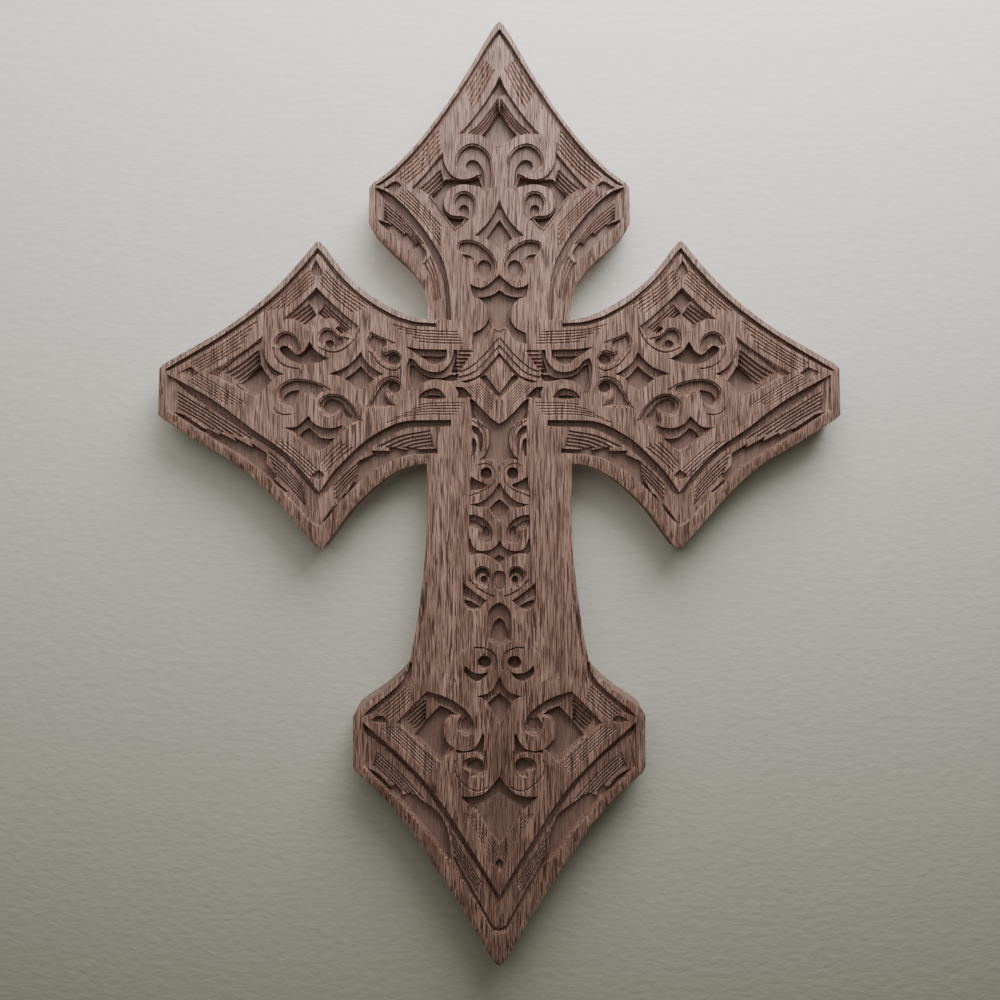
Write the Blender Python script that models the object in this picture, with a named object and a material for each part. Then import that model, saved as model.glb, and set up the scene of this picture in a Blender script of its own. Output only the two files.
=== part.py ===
"""Wall cross, carved in relief from one flat board of red oak.

The board hangs with its flat back on the wall. Its front faces -Y and its foot points to -Z. The
origin is on the back face, at the middle of the crossing. The pattern is the same on both sides
of the middle line, so only the left half is drawn, and it is mirrored.
"""
import bmesh
import bpy
import numpy as np
from math import radians
from mathutils import Matrix, Vector
from mathutils.geometry import delaunay_2d_cdt

# Driving dimensions, in metres
HEIGHT = 0.457
WIDTH = 0.330
THICKNESS = 0.019

# Depths below the front face, in metres
FACE = 0
BAND = 0.0020
FIRST_BAND = 0.0022
WEDGE = 0.0024
GROOVE = 0.0030
POCKET = 0.0032
BAND_GROOVE = 0.0040
CRESCENT = 0.0044
BAND_FLOOR = 0.0055
EYE = 0.0058
FLOOR = 0.0060

# Steps inside the deep pockets and down the shaft's field
TERRACE_DROP = 0.0016
FIELD_DROP = 0.0010
TERRACE_COUNT = 2

# How far a cut's wall leans in from its edge
WALL_DRAFT = 0.0006

# How closely a drawn curve is followed: a share of the shape's length, within two limits
CURVE_SHARE = 0.02
FINEST_CURVE = 0.00014
COARSEST_CURVE = 0.00034
CURVE_STEPS = 12
SAME_POINT = 0.000002

# The drawing's units: one is a 457th of the height upwards and a 330th of the width across
UP = HEIGHT / 457.2
ACROSS = WIDTH / 330.0

# Marks a point where two curves meet in a corner
C = True

OUTLINE = [
    (0, 176.3, C), (-3, 173), (-9, 163), (-15, 152.6), (-20, 144.5), (-25, 136.8), (-30, 129.8),
    (-40, 117), (-50, 106.6), (-57, 100.8), (-61.2, 97.9), (-63, 95.3, C), (-63.2, 78.5, C),
    (-62, 75.7), (-59.5, 72.8), (-55, 67.9), (-50, 63.2), (-45, 58.7), (-41, 53.8), (-37.2, 48.1),
    (-35.6, 44), (-34.8, 39), (-34.4, 31.6, C), (-39, 32.4), (-45, 34.1), (-55, 39), (-65, 45.4),
    (-75, 54.4), (-82.5, 63.7), (-86, 68.6), (-87.7, 69.7, C), (-89.2, 68.8), (-95, 61.8),
    (-105, 50.6), (-115, 41.1), (-125, 33.1), (-135, 26.1), (-145, 20.3), (-155, 14.6),
    (-162, 10.5), (-164.6, 8, C), (-165, -14.6, C), (-160, -18.3), (-150, -24.6), (-140, -30.5),
    (-130, -36.4), (-121, -43.2), (-110, -53.6), (-100, -65.2), (-92, -74.3), (-88.5, -78.3),
    (-86.5, -79.2, C), (-84.8, -78), (-80, -71.6), (-75, -64.6), (-70, -58.4), (-60, -49),
    (-50, -42), (-42, -38.7), (-34.9, -37.8, C), (-34.9, -60), (-35.6, -78), (-37.3, -96),
    (-39.3, -112), (-42, -127), (-43.5, -133.5), (-46, -138.5), (-50, -142.7), (-57.5, -149),
    (-65, -154), (-69, -157.2), (-70.7, -160.5, C), (-70.7, -184.5, C), (-69.3, -187.5),
    (-65, -191.4), (-58, -197.8), (-50, -206.3), (-42, -216.8), (-34, -229), (-26, -241),
    (-18, -253.2), (-10, -266.3), (-4.5, -276), (-1.5, -280.2), (0, -280.9, C)]


def curve(points):
    """Follow an open run of points with a smooth curve that goes through each of them."""
    points = np.array(points, dtype=float)
    before = np.vstack([2 * points[0] - points[1], points[:-1]])
    after = np.vstack([points[1:], 2 * points[-1] - points[-2]])
    followed = []
    for i in range(len(points) - 1):
        p0, p1, p2, p3 = before[i], points[i], points[i + 1], after[i + 1]
        for t in np.arange(CURVE_STEPS) / CURVE_STEPS:
            followed.append(0.5 * (2 * p1 + (p2 - p0) * t + (2 * p0 - 5 * p1 + 4 * p2 - p3) * t ** 2
                                   + (3 * p1 - p0 - 3 * p2 + p3) * t ** 3))
    followed.append(points[-1])
    return np.array(followed)


def thin_out(line, tolerance):
    """Leave out the points of an open line that lie within the tolerance of a straight run."""
    along = line[-1] - line[0]
    length = np.hypot(*along)
    offset = line - line[0]
    if length < SAME_POINT:
        away = np.hypot(offset[:, 0], offset[:, 1])
    else:
        away = np.abs(offset[:, 0] * along[1] - offset[:, 1] * along[0]) / length
    far = int(np.argmax(away))
    if away[far] < tolerance:
        return line[[0, -1]]
    return np.vstack([thin_out(line[:far + 1], tolerance)[:-1], thin_out(line[far:], tolerance)])


def drawn(points, closed=True):
    """Turn drawing points into a line in metres, curved between its marked corners."""
    flat = np.array([(p[0] * ACROSS, p[1] * UP) for p in points])
    count = len(points)
    tolerance = np.clip(CURVE_SHARE * np.ptp(flat, axis=0).max(), FINEST_CURVE, COARSEST_CURVE)
    corners = [i for i, p in enumerate(points) if len(p) > 2]
    if not corners:
        ring = curve(flat[np.arange(-1, count + 2) % count])[CURVE_STEPS:-CURVE_STEPS]
        half = len(ring) // 2
        halves = [ring[:half + 1], ring[half:]]
        return np.vstack([thin_out(part, tolerance)[:-1] for part in halves])
    if closed:
        ends = corners[1:] + [corners[0] + count]
    else:
        ends = corners[1:]
    runs = []
    for start, end in zip(corners, ends):
        runs.append(thin_out(curve(flat[np.arange(start, end + 1) % count]), tolerance)[:-1])
    if not closed:
        runs.append(flat[-1:])
    return np.vstack(runs)


def mirrored(half):
    """Close a line that runs from the middle line to the middle line, with its mirror image."""
    return np.vstack([half, half[-2:0:-1] * (-1, 1)])


def distance_to(points, ring):
    """Distance from each point to a closed line, and whether the point lies inside it."""
    ends = np.roll(ring, -1, axis=0)
    along = ends - ring
    offset = points[:, None, :] - ring[None, :, :]
    share = np.clip((offset * along).sum(2) / (along ** 2).sum(1), 0, 1)
    gap = offset - share[:, :, None] * along
    across = (ring[None, :, 1] > points[:, 1:]) != (ends[None, :, 1] > points[:, 1:])
    rise = np.where(along[:, 1] == 0, 1, along[:, 1])
    crossing = ring[:, 0] + (points[:, 1:] - ring[:, 1]) * along[:, 0] / rise
    inside = (across & (points[:, :1] < crossing)).sum(1) % 2 == 1
    return np.sqrt((gap ** 2).sum(2)).min(1), inside


def inset(ring):
    """Line at the foot of a cut's wall, left out where the cut is too narrow for a floor."""
    toward = np.roll(ring, -1, axis=0) - ring
    toward /= np.hypot(toward[:, 0], toward[:, 1])[:, None]
    normal = np.stack([-toward[:, 1], toward[:, 0]], axis=1)
    area = (ring[:, 0] * np.roll(ring[:, 1], -1) - np.roll(ring[:, 0], -1) * ring[:, 1]).sum()
    normal *= np.sign(area)
    mitre = normal + np.roll(normal, 1, axis=0)
    mitre /= np.maximum((mitre ** 2).sum(1) / 2, 0.5)[:, None]
    foot = ring + mitre * WALL_DRAFT
    gap, inside = distance_to(foot, ring)
    return foot[inside & (gap > 0.9 * WALL_DRAFT)]


class Board:
    """A board with a drawn outline and a list of cuts in its front, where a later cut wins."""

    def __init__(self, outline):
        self.edge = drawn(outline, closed=False)
        self.cuts = []

    def cut(self, depth, points):
        """Cut a drawn shape down to a depth."""
        self.cuts.append((drawn(points), depth, False))

    def cut_middle(self, depth, points):
        """Cut a shape that lies across the middle line and is drawn on its left side."""
        self.cuts.append((mirrored(drawn(points, closed=False)), depth, False))

    def terraces(self, drop, outer, inner):
        """Cut steps, each lower than the last by the drop, from one drawn line to another."""
        outer, inner = np.array(outer, dtype=float), np.array(inner, dtype=float)
        for step in range(TERRACE_COUNT):
            upper = outer + (inner - outer) * step / TERRACE_COUNT
            points = [(*upper[0], C), *upper[1:-1], (*upper[-1], C),
                      (*inner[-1], C), *inner[-2:0:-1], (*inner[0], C)]
            self.cuts.append((drawn(points), drop, True))

    def depth_at(self, points):
        """Depth below the front face at each point."""
        depth = np.zeros(len(points))
        for ring, bottom, is_step in self.cuts:
            low, high = ring.min(0), ring.max(0)
            near = np.flatnonzero(((points > low) & (points < high)).all(1))
            if len(near) == 0:
                continue
            gap, inside = distance_to(points[near], ring)
            share = np.where(inside, np.clip(gap / WALL_DRAFT, 0, 1), 0)
            if is_step:
                depth[near] += bottom * share
            else:
                depth[near] += (bottom - depth[near]) * share
        return depth

    def triangles(self):
        """Divide the left half of the front along every drawn line."""
        rings = [self.edge]
        for ring, _, _ in self.cuts:
            rings.append(ring)
            foot = inset(ring)
            if len(foot) > 2:
                rings.append(foot)
        points, lines = [], []
        for ring in rings:
            first, count = len(points), len(ring)
            points += [Vector(p) for p in ring]
            lines += [(first + i, first + (i + 1) % count) for i in range(count)]
        laid, _, faces, _, _, _ = delaunay_2d_cdt(points, lines, [], 0, SAME_POINT)
        laid = np.array([tuple(p) for p in laid])
        laid[np.abs(laid[:, 0]) < 2 * SAME_POINT, 0] = 0
        faces = np.array(faces)
        _, inside = distance_to(laid[faces].mean(1), self.edge)
        return laid, faces[inside]


def carve_head(board):
    """Cut the head: scrolls over a terraced hole, with a diamond below."""
    # tip wedge
    board.cut_middle(WEDGE, [(0, 165.5, C), (-4.9, 156.6, C), (-3.6, 155.2), (0, 156.2)])
    # top hole
    board.cut_middle(FIRST_BAND, [(0, 149.5, C), (-4.2, 141), (-9.7, 133), (-15, 126.2),
        (-19.9, 121.2, C), (-15, 121.5), (-10, 120.7), (-6.5, 118.8), (-4.8, 116.8, C), (0, 114.6)])
    # top stair
    board.terraces(TERRACE_DROP, [(-0.4, 140), (-9, 128), (-16.4, 121.6)],
                   [(-0.2, 133.2), (-4.6, 126.5), (-9, 121.6)])
    # top floor
    board.cut_middle(FLOOR, [(0, 133.8, C), (-4.5, 126.3), (-8.8, 121.2, C), (-6.3, 119.2),
        (-4.2, 117.6, C), (0, 116.2)])
    # wedge
    board.cut(WEDGE, [(-55.8, 95.4, C), (-50.3, 98.6), (-47.2, 96.6, C), (-50, 92.6, C)])
    # left hole
    board.cut(FIRST_BAND, [(-42.3, 95.4, C), (-35.5, 102.6), (-27.3, 112.8, C), (-26.8, 108.5),
        (-24.8, 103.7), (-21.3, 100.4), (-17, 99.5), (-13, 100.3), (-9.5, 102.2), (-7.3, 99, C),
        (-7, 94.8, C), (-12, 96.3), (-17, 96.9), (-21.5, 96), (-25.3, 93.3), (-26.8, 89), (-26, 85),
        (-23.5, 82.4), (-20, 81.8), (-16.8, 82, C), (-14.3, 80.3, C), (-17.5, 77), (-22, 72.2, C),
        (-24.5, 75.8), (-27.5, 79.8), (-33, 85.8), (-38, 91.2)])
    # upper scroll
    board.cut(POCKET, [(-20.7, 107.6), (-19.2, 112.4), (-15.5, 115.5), (-11.5, 115.8), (-7.5, 113.6),
        (-4.9, 109.8), (-4, 105), (-3.9, 100), (-4.1, 95.6, C), (-7.3, 94.8, C), (-8.2, 98.5),
        (-9.6, 100.9), (-9.4, 102.7, C), (-13, 103.1), (-16.5, 103.4), (-19.3, 105)])
    # upper eye
    board.cut(EYE, [(-16.4, 106.6), (-15.3, 108.9), (-12.8, 109.8), (-10.2, 108.6), (-8, 105.3),
        (-7.2, 101.3), (-7.1, 96, C), (-8.4, 97.6), (-9.8, 100.8), (-9.4, 102.8, C), (-12.5, 103.3),
        (-15, 104.3)])
    # left stair
    board.terraces(TERRACE_DROP, [(-39, 95.4), (-33, 100.6), (-28.3, 105.5)],
                   [(-33.2, 91.6), (-29.6, 95.3), (-26.8, 98.2)])
    # left floor
    board.cut(FLOOR, [(-33, 91.6, C), (-29.8, 95), (-26.3, 99.5, C), (-23.5, 99.4), (-20, 98.3),
        (-15, 98.2), (-10, 99.2, C), (-8, 97, C), (-12.5, 97.3), (-17.5, 97.9), (-22.3, 96.8),
        (-26.2, 94), (-27.7, 89.3), (-26.9, 84.9), (-24.5, 81.9), (-20, 80.8), (-16.3, 81.2, C),
        (-18.5, 78.3), (-21.4, 76.2, C), (-24, 79.3), (-27, 83.3), (-29.8, 87.3)])
    # lower scroll
    board.cut(POCKET, [(-21.8, 88.2), (-20.3, 91.6), (-17.5, 93), (-14.5, 92.2), (-12.3, 89.5),
        (-11.9, 86), (-12.7, 82.8), (-14.5, 80.2, C), (-16.7, 81.8, C), (-16.9, 83), (-18.8, 83.2),
        (-20.8, 85)])
    # lower eye
    board.cut(EYE, [(-19.6, 85.5), (-18.9, 87.2), (-17.3, 87.9), (-15.6, 87.2), (-14.8, 85.3),
        (-15, 82.8), (-16.8, 82.4), (-18.6, 83.4)])
    # diamond
    board.cut_middle(POCKET, [(0, 89.5, C), (-2, 85), (-4, 81), (-7, 77), (-12, 72.3, C), (-9, 71.5),
        (-6.5, 70.5), (-3.5, 68), (0, 66, C)])
    # diamond floor
    board.cut_middle(FLOOR, [(0, 80.6, C), (-2.8, 76.6), (-6.3, 71.4, C), (-3.3, 68.8), (0, 66.8, C)])


def carve_neck(board):
    """Cut the neck: a crescent and its eye, and a hole that runs into the crossing."""
    # crescent
    board.cut(POCKET, [(-19.7, 66.3), (-19, 68.6), (-15, 69.5), (-10.5, 68.2), (-6, 65), (-2.9, 60.7),
        (-2, 56.3), (-3.6, 52.5), (-7.3, 50.6), (-10.8, 52), (-12, 54.8), (-11.1, 58.5), (-12.5, 61.4),
        (-15.5, 63.8), (-18.8, 64.6)])
    # eye
    board.cut(EYE, [(-10.6, 57), (-10, 59.8), (-7.5, 61.1), (-4.8, 59.8), (-3.8, 57), (-5, 54),
        (-7.4, 52.9), (-9.8, 54.2)])
    # leaf
    board.cut(WEDGE, [(-18, 63.2, C), (-14, 62.8), (-10.8, 60.8, C), (-12, 59.2), (-14.7, 58.4),
        (-16.6, 60.8)])
    # hole
    board.cut_middle(POCKET, [(0, 53.5, C), (-3, 50.6), (-6.5, 47.9), (-9, 47.2), (-12.2, 47.9),
        (-14.2, 49.2, C), (-13.6, 45.5), (-12.6, 42.6, C), (-8.3, 40.6), (-6, 37.2), (-5.2, 33.5),
        (-6.2, 30), (-8.5, 27.4), (-12.8, 25.2, C), (-13.2, 19.8, C), (-9, 20.8), (-6, 23.4),
        (-4, 27.5), (-2.4, 25.5), (0, 22, C)])
    # floor
    board.cut_middle(FLOOR, [(0, 46.4, C), (-3.5, 44), (-8, 42.9), (-11, 43, C), (-7.6, 40), (-5, 36.8),
        (-4.2, 33.5), (-3.6, 29), (0, 27, C)])


def carve_left_arm(board):
    """Cut the left arm: three holes round a swirl, a spiral and two commas."""
    # left wedge
    board.cut(WEDGE, [(-155.6, 5.8, C), (-149.2, 8.9, C), (-145, 5.7, C), (-149.6, 3, C)])
    # top wedge
    board.cut(WEDGE, [(-88.6, 60.6, C), (-91.4, 54.8), (-90, 52.8), (-88.2, 52.5), (-86.6, 52.8),
        (-85.2, 54.6)])
    # left hole
    board.cut(FIRST_BAND, [(-141, 5.6, C), (-131, 11.8), (-122, 17.5), (-114.2, 23.9, C),
        (-114.8, 19.5), (-113.6, 14.5), (-111.2, 10.3), (-108, 7.2), (-104, 5.4, C), (-107, 4.3),
        (-109.8, 2.2, C), (-112.5, -0.6), (-115, -3.4), (-117.8, -5.2), (-121, -4.6), (-125, -2.6),
        (-131, 0.6), (-136, 3.4)])
    # left stair
    board.terraces(TERRACE_DROP, [(-133.3, 5.8), (-125, 11), (-116.2, 18)],
                   [(-125.6, 0.6), (-121, 4.6), (-115.5, 9.4)])
    # left floor
    board.cut(FLOOR, [(-126.6, 0.9, C), (-121, 4.8), (-115.2, 9.6, C), (-113.6, 6.8), (-110.4, 2.2, C),
        (-113, -0.4), (-115.8, -3.4), (-118.2, -4.2), (-121.5, -3.2), (-124.5, -1.2)])
    # left slit
    board.cut(POCKET, [(-114, 16.5, C), (-113.2, 12.5), (-111, 9), (-108, 6.7), (-104.4, 5.4, C),
        (-107.6, 5), (-109.4, 4.6), (-111.6, 7.2), (-113.4, 10.6), (-114.6, 13.5)])
    # upper hole
    board.cut(FIRST_BAND, [(-88.3, 47.4, C), (-92.8, 42.6), (-98, 37.4), (-105, 31.8, C), (-100, 31.7),
        (-96.4, 30), (-94.2, 28), (-92, 25.4, C), (-90.6, 27.8), (-88.4, 30.4), (-85.5, 32.2),
        (-81.5, 32.6), (-78.6, 31), (-77.2, 28.4, C), (-79, 26.6), (-76.5, 26.2), (-73.4, 24.5),
        (-71, 23, C), (-67.8, 28.6, C), (-73, 32.6), (-79.6, 38.5), (-84.4, 43.3)])
    # upper stair left
    board.terraces(TERRACE_DROP, [(-101.5, 32.8), (-97, 36), (-92.2, 39.6)],
                   [(-95, 28.6), (-91.5, 31.6), (-88.6, 34.2)])
    # upper stair right
    board.terraces(TERRACE_DROP, [(-73.4, 27.6), (-79, 33), (-85.2, 38.9)],
                   [(-75.8, 25.4), (-81, 30.8), (-87.6, 35.4)])
    # upper left scroll
    board.cut(POCKET, [(-108.4, 20.4), (-106.6, 23.6), (-103.3, 25.2), (-99.8, 23.8), (-97.4, 20.6),
        (-96.6, 17.2), (-98, 15.4), (-99.8, 16.6), (-100.6, 18.6), (-102.8, 19.6), (-105.4, 18.8),
        (-107.6, 19)])
    # upper left swirl
    board.cut(EYE, [(-106.6, 17.3), (-105, 19), (-102.6, 18.9), (-100.6, 17), (-98.2, 14.9),
        (-96, 15.4), (-94, 17.2), (-91.6, 21.4, C), (-90, 18.4), (-87, 15.4), (-82.2, 12.8, C),
        (-87, 11.2), (-92, 10.2), (-97, 10.3), (-101, 11.8), (-104.8, 14.4)])
    # spiral
    board.cut(POCKET, [(-87.3, 21.4), (-86.8, 24.6), (-84.4, 26.9), (-81.2, 26.2), (-78.8, 23.8),
        (-76.6, 22.8), (-73.2, 22.3, C), (-76.4, 19.6), (-79.2, 18.2), (-79.8, 20.6), (-81.8, 21.9),
        (-84.4, 21.2), (-86.2, 19.2)])
    # spiral eye
    board.cut(EYE, [(-83.4, 20.2), (-82.6, 21.3), (-81.2, 21.2), (-80.3, 19.9), (-80.9, 18.6),
        (-82.2, 18.2), (-83.3, 19)])
    # diamond
    board.cut(POCKET, [(-66.9, 16.3, C), (-70, 12.4), (-75, 8.4), (-82.6, 5.4, C), (-78.8, 4.5),
        (-75.4, 2.8), (-72, 0.3), (-69.6, -1.8), (-67, -2.7, C), (-64.6, -1.2), (-62.6, 0.6),
        (-60.6, 2.9), (-58.4, 4.4), (-55.8, 5.3, C), (-60, 7.6), (-64.4, 11.4)])
    # diamond floor
    board.cut(FLOOR, [(-67.2, 9.6, C), (-70.6, 6.4), (-75.3, 3.2, C), (-72, 0.4), (-69.5, -1.5),
        (-67, -2.2, C), (-64.6, -0.6), (-62.6, 1), (-60.8, 3, C), (-64, 5.6)])
    # comma upper
    board.cut(POCKET, [(-61.6, 24.6, C), (-57, 22.4), (-51, 20.5, C), (-55.8, 18.6), (-57, 16.4),
        (-55, 14.9), (-52.8, 15.9), (-50.2, 15.9), (-48.2, 14), (-47.8, 12), (-49.6, 10), (-52.4, 9.8),
        (-55.2, 10.9), (-57.6, 12.8), (-61, 16.8), (-63.4, 21)])
    # comma upper eye
    board.cut(EYE, [(-54, 12.6), (-52.8, 14.6), (-50.2, 15.2), (-48.5, 13.2), (-49, 11), (-51.4, 10.2),
        (-53.5, 11)])
    # comma lower
    board.cut(POCKET, [(-63.2, -10.2, C), (-60.8, -6), (-58.4, -1.6), (-55.4, 1.4), (-51.8, 2.4),
        (-48.8, 1), (-47.8, -1.2), (-49.2, -3.8), (-51.6, -4), (-54.6, -2.2), (-55.2, -5),
        (-53.6, -7.6), (-51, -9.8, C), (-57, -10.2)])
    # comma lower eye
    board.cut(EYE, [(-54, -0.4), (-52.6, 1.4), (-50.2, 1.6), (-48.5, -0.2), (-49, -2.6), (-51.3, -3.4),
        (-53.4, -2.2)])
    # crescent
    board.cut(POCKET, [(-106.4, -2.2), (-103.2, 0.9), (-99, 2.2), (-94, 2), (-88, 0.6),
        (-81.8, -2.3, C), (-86.4, -3.6), (-89.4, -5.8, C), (-92.4, -3.6), (-96, -3.4), (-99.4, -8.4),
        (-103, -10.2), (-106.2, -7)])
    # crescent eye
    board.cut(EYE, [(-105.2, -7.2), (-104, -4.6), (-101.4, -2.9), (-97.4, -2.4), (-98.4, -5.6),
        (-100.4, -9.2), (-103.2, -9.6)])
    # lower scroll
    board.cut(POCKET, [(-87, -9.6), (-85.6, -6.8), (-81.6, -5), (-77, -5.6), (-73.4, -8),
        (-70.4, -11.6), (-67.4, -16.8, C), (-71.6, -18.6), (-75.4, -20.4), (-77.6, -17.4), (-76.6, -13),
        (-77.4, -11.4), (-79.4, -13.4), (-82.6, -14.4), (-85.4, -13)])
    # lower eye
    board.cut(EYE, [(-85.6, -10), (-83.6, -7), (-80.6, -6.6), (-76.4, -8.6), (-74, -12), (-71, -15.6),
        (-74.4, -15.4), (-76.6, -11.2), (-78.8, -12.6), (-82.4, -13.7), (-84.8, -12.4)])
    # bottom hole
    board.cut(POCKET, [(-104.2, -20.4, C), (-98.6, -20.2), (-95.2, -17.8), (-92.2, -14.8, C),
        (-90.6, -17.4), (-87.6, -19.6), (-83.4, -20.7), (-79, -20.4), (-75.6, -18.6, C),
        (-74.4, -21.2, C), (-78.6, -25), (-83, -29.6), (-87, -32.4, C), (-92, -30), (-97, -26.4)])
    # bottom floor
    board.cut(FLOOR, [(-92.2, -20.4, C), (-95.6, -22.6), (-97.2, -25, C), (-92, -29), (-87.2, -31.6),
        (-83, -29), (-79, -25.2, C), (-82.4, -25.9), (-86.8, -25.2), (-89.8, -23)])
    # low wedge
    board.cut(WEDGE, [(-91, -43.8), (-87.2, -40.8, C), (-84.6, -43.4), (-87, -46.2, C), (-89.4, -45.4)])


def carve_bands(board):
    """Cut the sunk bands below the face: each has a groove along its upper edge and a low floor."""
    # head band, from the head's side down to the crossing
    upper = [(-60.2, 95.8, C), (-55, 94), (-50, 90.5), (-45, 85.8), (-40, 80), (-35, 73.6), (-30, 65.6),
        (-27, 59.5), (-25.3, 53), (-24.4, 46), (-24, 38, C)]
    lower = [(-37.2, 60, C), (-41, 62.6), (-46, 67.5), (-52, 73), (-57.5, 78), (-60.2, 81, C)]
    board.cut(BAND, upper + [(-27.5, 42), (-31, 48.6), (-34.6, 56)] + lower)
    board.cut(BAND_GROOVE, upper + [(-27, 50.6), (-30.2, 58), (-34, 65.6), (-38, 72), (-43, 77.4),
        (-48.6, 82.6), (-53.6, 87.6)])
    board.cut(BAND_FLOOR, lower + [(-55.4, 79.9), (-50, 75.6), (-43.5, 70.8), (-38, 67.9),
        (-35.4, 64.6)])
    # arm band, outer part
    outer_upper = [(-160.4, 5.3, C), (-150, -0.3), (-140, -6), (-130, -13), (-120, -20.8),
        (-113.5, -25.2), (-105, -31.6), (-95, -41.6), (-87, -51.8, C)]
    outer_lower = [(-86.9, -68.4, C), (-91, -66.4), (-97, -60.2), (-105, -51.6), (-112, -44.8),
        (-120, -38.2), (-130, -31.6), (-140, -25.6), (-150, -19), (-156, -15), (-160.4, -12.2, C)]
    inner_upper = [(-87, -51.8, C), (-84.6, -48), (-80, -41.6), (-75, -36.4), (-70, -31.4), (-65, -27),
        (-60, -23.6), (-55, -20.8), (-50, -18.6), (-45, -17.3), (-40, -17), (-23.2, -16.8, C)]
    inner_lower = [(-29.8, -33.2, C), (-38, -33.6), (-45, -34.4), (-52, -36.6), (-60, -41),
        (-67, -46.4), (-73, -52), (-78, -57.8), (-82.4, -63.6), (-86.9, -68.4, C)]
    board.cut(BAND, outer_upper[:-1] + inner_upper + [(-23.2, -20, C), (-29.8, -20.4, C)]
              + inner_lower[:-1] + outer_lower)
    board.cut(BAND_GROOVE, outer_upper + [(-87, -54.6, C), (-90, -51.6), (-95, -46), (-100, -40.2),
        (-105, -35.2), (-110, -31.2), (-120, -25), (-130, -18.2), (-140, -11.6), (-150, -4.6)])
    board.cut(BAND_GROOVE, inner_upper + [(-23.2, -20, C), (-40, -20.3), (-45, -21), (-50, -22.8),
        (-55, -25.5), (-60, -28.8), (-65, -32.5), (-70, -36.5), (-75, -41.5), (-80, -46.6),
        (-84, -52.4), (-86.8, -56, C)])
    board.cut(BAND_FLOOR, outer_lower + [(-150, -16), (-141, -21.5), (-133.5, -24), (-126, -25.2),
        (-118.5, -27.6), (-113.4, -31.8), (-110.8, -37), (-108.8, -43.4), (-103, -50.6), (-96.2, -59),
        (-90.5, -65.8), (-87, -67.4, C)])
    board.cut(BAND_FLOOR, inner_lower + [(-86.6, -66.6, C), (-82.8, -62), (-79.4, -57), (-74.4, -50.2),
        (-70, -43.4), (-68.6, -36.6, C), (-63, -33), (-58.6, -32.2), (-52, -31.6), (-46, -31.4),
        (-40, -31.2), (-29.8, -30.8, C)])
    # foot band
    upper = [(0, -246.8, C), (-5, -238), (-10, -229.8), (-15, -221.8), (-20, -213.8), (-25, -206),
        (-30, -199), (-35, -192.5), (-40, -187), (-45, -182), (-50, -177), (-60, -168.3),
        (-66.2, -162.6, C)]
    lower = [(-66, -184.4, C), (-60, -190.8), (-55, -195.4), (-48, -202), (-42, -208), (-36.5, -215),
        (-32, -222), (-27, -230), (-21, -239), (-15, -248.2), (-9, -257.6), (-4, -264.6),
        (0, -266.4, C)]
    board.cut_middle(BAND, upper + lower)
    board.cut_middle(BAND_GROOVE, upper + [(-64.6, -169), (-60, -172.4), (-55, -176.6), (-50, -181.2),
        (-45, -186), (-40, -191.2), (-35, -197), (-30, -203.6), (-25, -210.4), (-20, -217.8),
        (-15, -225.6), (-10, -233.6), (-5, -242), (0, -250.8, C)])
    board.cut_middle(BAND_FLOOR, [(0, -264.6, C), (-3.4, -262.6), (-8, -254.4), (-13, -245),
        (-17.5, -236), (-21.5, -227), (-25.4, -219), (-26.8, -213), (-30, -207.6), (-35, -203),
        (-40, -200), (-46, -198.6), (-52, -194.6), (-58, -189)] + lower)


def carve_grooves(board):
    """Cut the grooves inside the upper rims."""
    # along the head's upper edges
    board.cut_middle(GROOVE, [(0, 172.2, C), (-5, 165.6), (-12, 154), (-20, 141.6), (-30, 127.2),
        (-40, 114.7), (-50, 104.3), (-56, 99.4), (-60.6, 96.4, C), (-57.5, 96.6), (-53, 99.6),
        (-47, 104.6), (-38, 113.4), (-28, 125.6), (-18, 140), (-10, 152.6), (-4, 162.6), (0, 169.4, C)])
    # along the left arm's upper edges
    board.cut(GROOVE, [(-87.9, 66.6, C), (-85, 63.5), (-80, 57), (-75, 51.3), (-70, 46.4), (-65, 42.3),
        (-60, 38.8), (-55, 36), (-50, 33.4), (-45, 31.8), (-40, 30.6), (-30.5, 29.9, C), (-30.5, 28, C),
        (-40, 28.4), (-45, 29.4), (-50, 31.2), (-55, 33.6), (-60, 36.6), (-65, 40), (-70, 43.8),
        (-75, 48), (-80, 53.4), (-84.4, 59.4), (-87.9, 63.4, C), (-92.5, 56.4), (-100, 48),
        (-110, 38.8), (-120, 31), (-130, 24), (-140, 17.8), (-150, 12.2), (-155, 9.4), (-161.6, 6.4, C),
        (-161.6, 7.6, C), (-155, 11.6), (-145, 17.4), (-135, 23.6), (-125, 30.4), (-115, 38),
        (-105, 46.8), (-95, 57.6), (-90, 63.6)])
    # along the foot's shoulder
    board.cut(GROOVE, [(-43.4, -133.6, C), (-44.4, -138.4), (-47.2, -143), (-52, -147.8), (-58, -152.8),
        (-63, -156.8), (-66.4, -160.6, C), (-62, -159.4), (-56.4, -155.2), (-50.6, -150.4),
        (-45.4, -145.4), (-42.6, -140.4), (-42.2, -134.6, C)])


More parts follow.
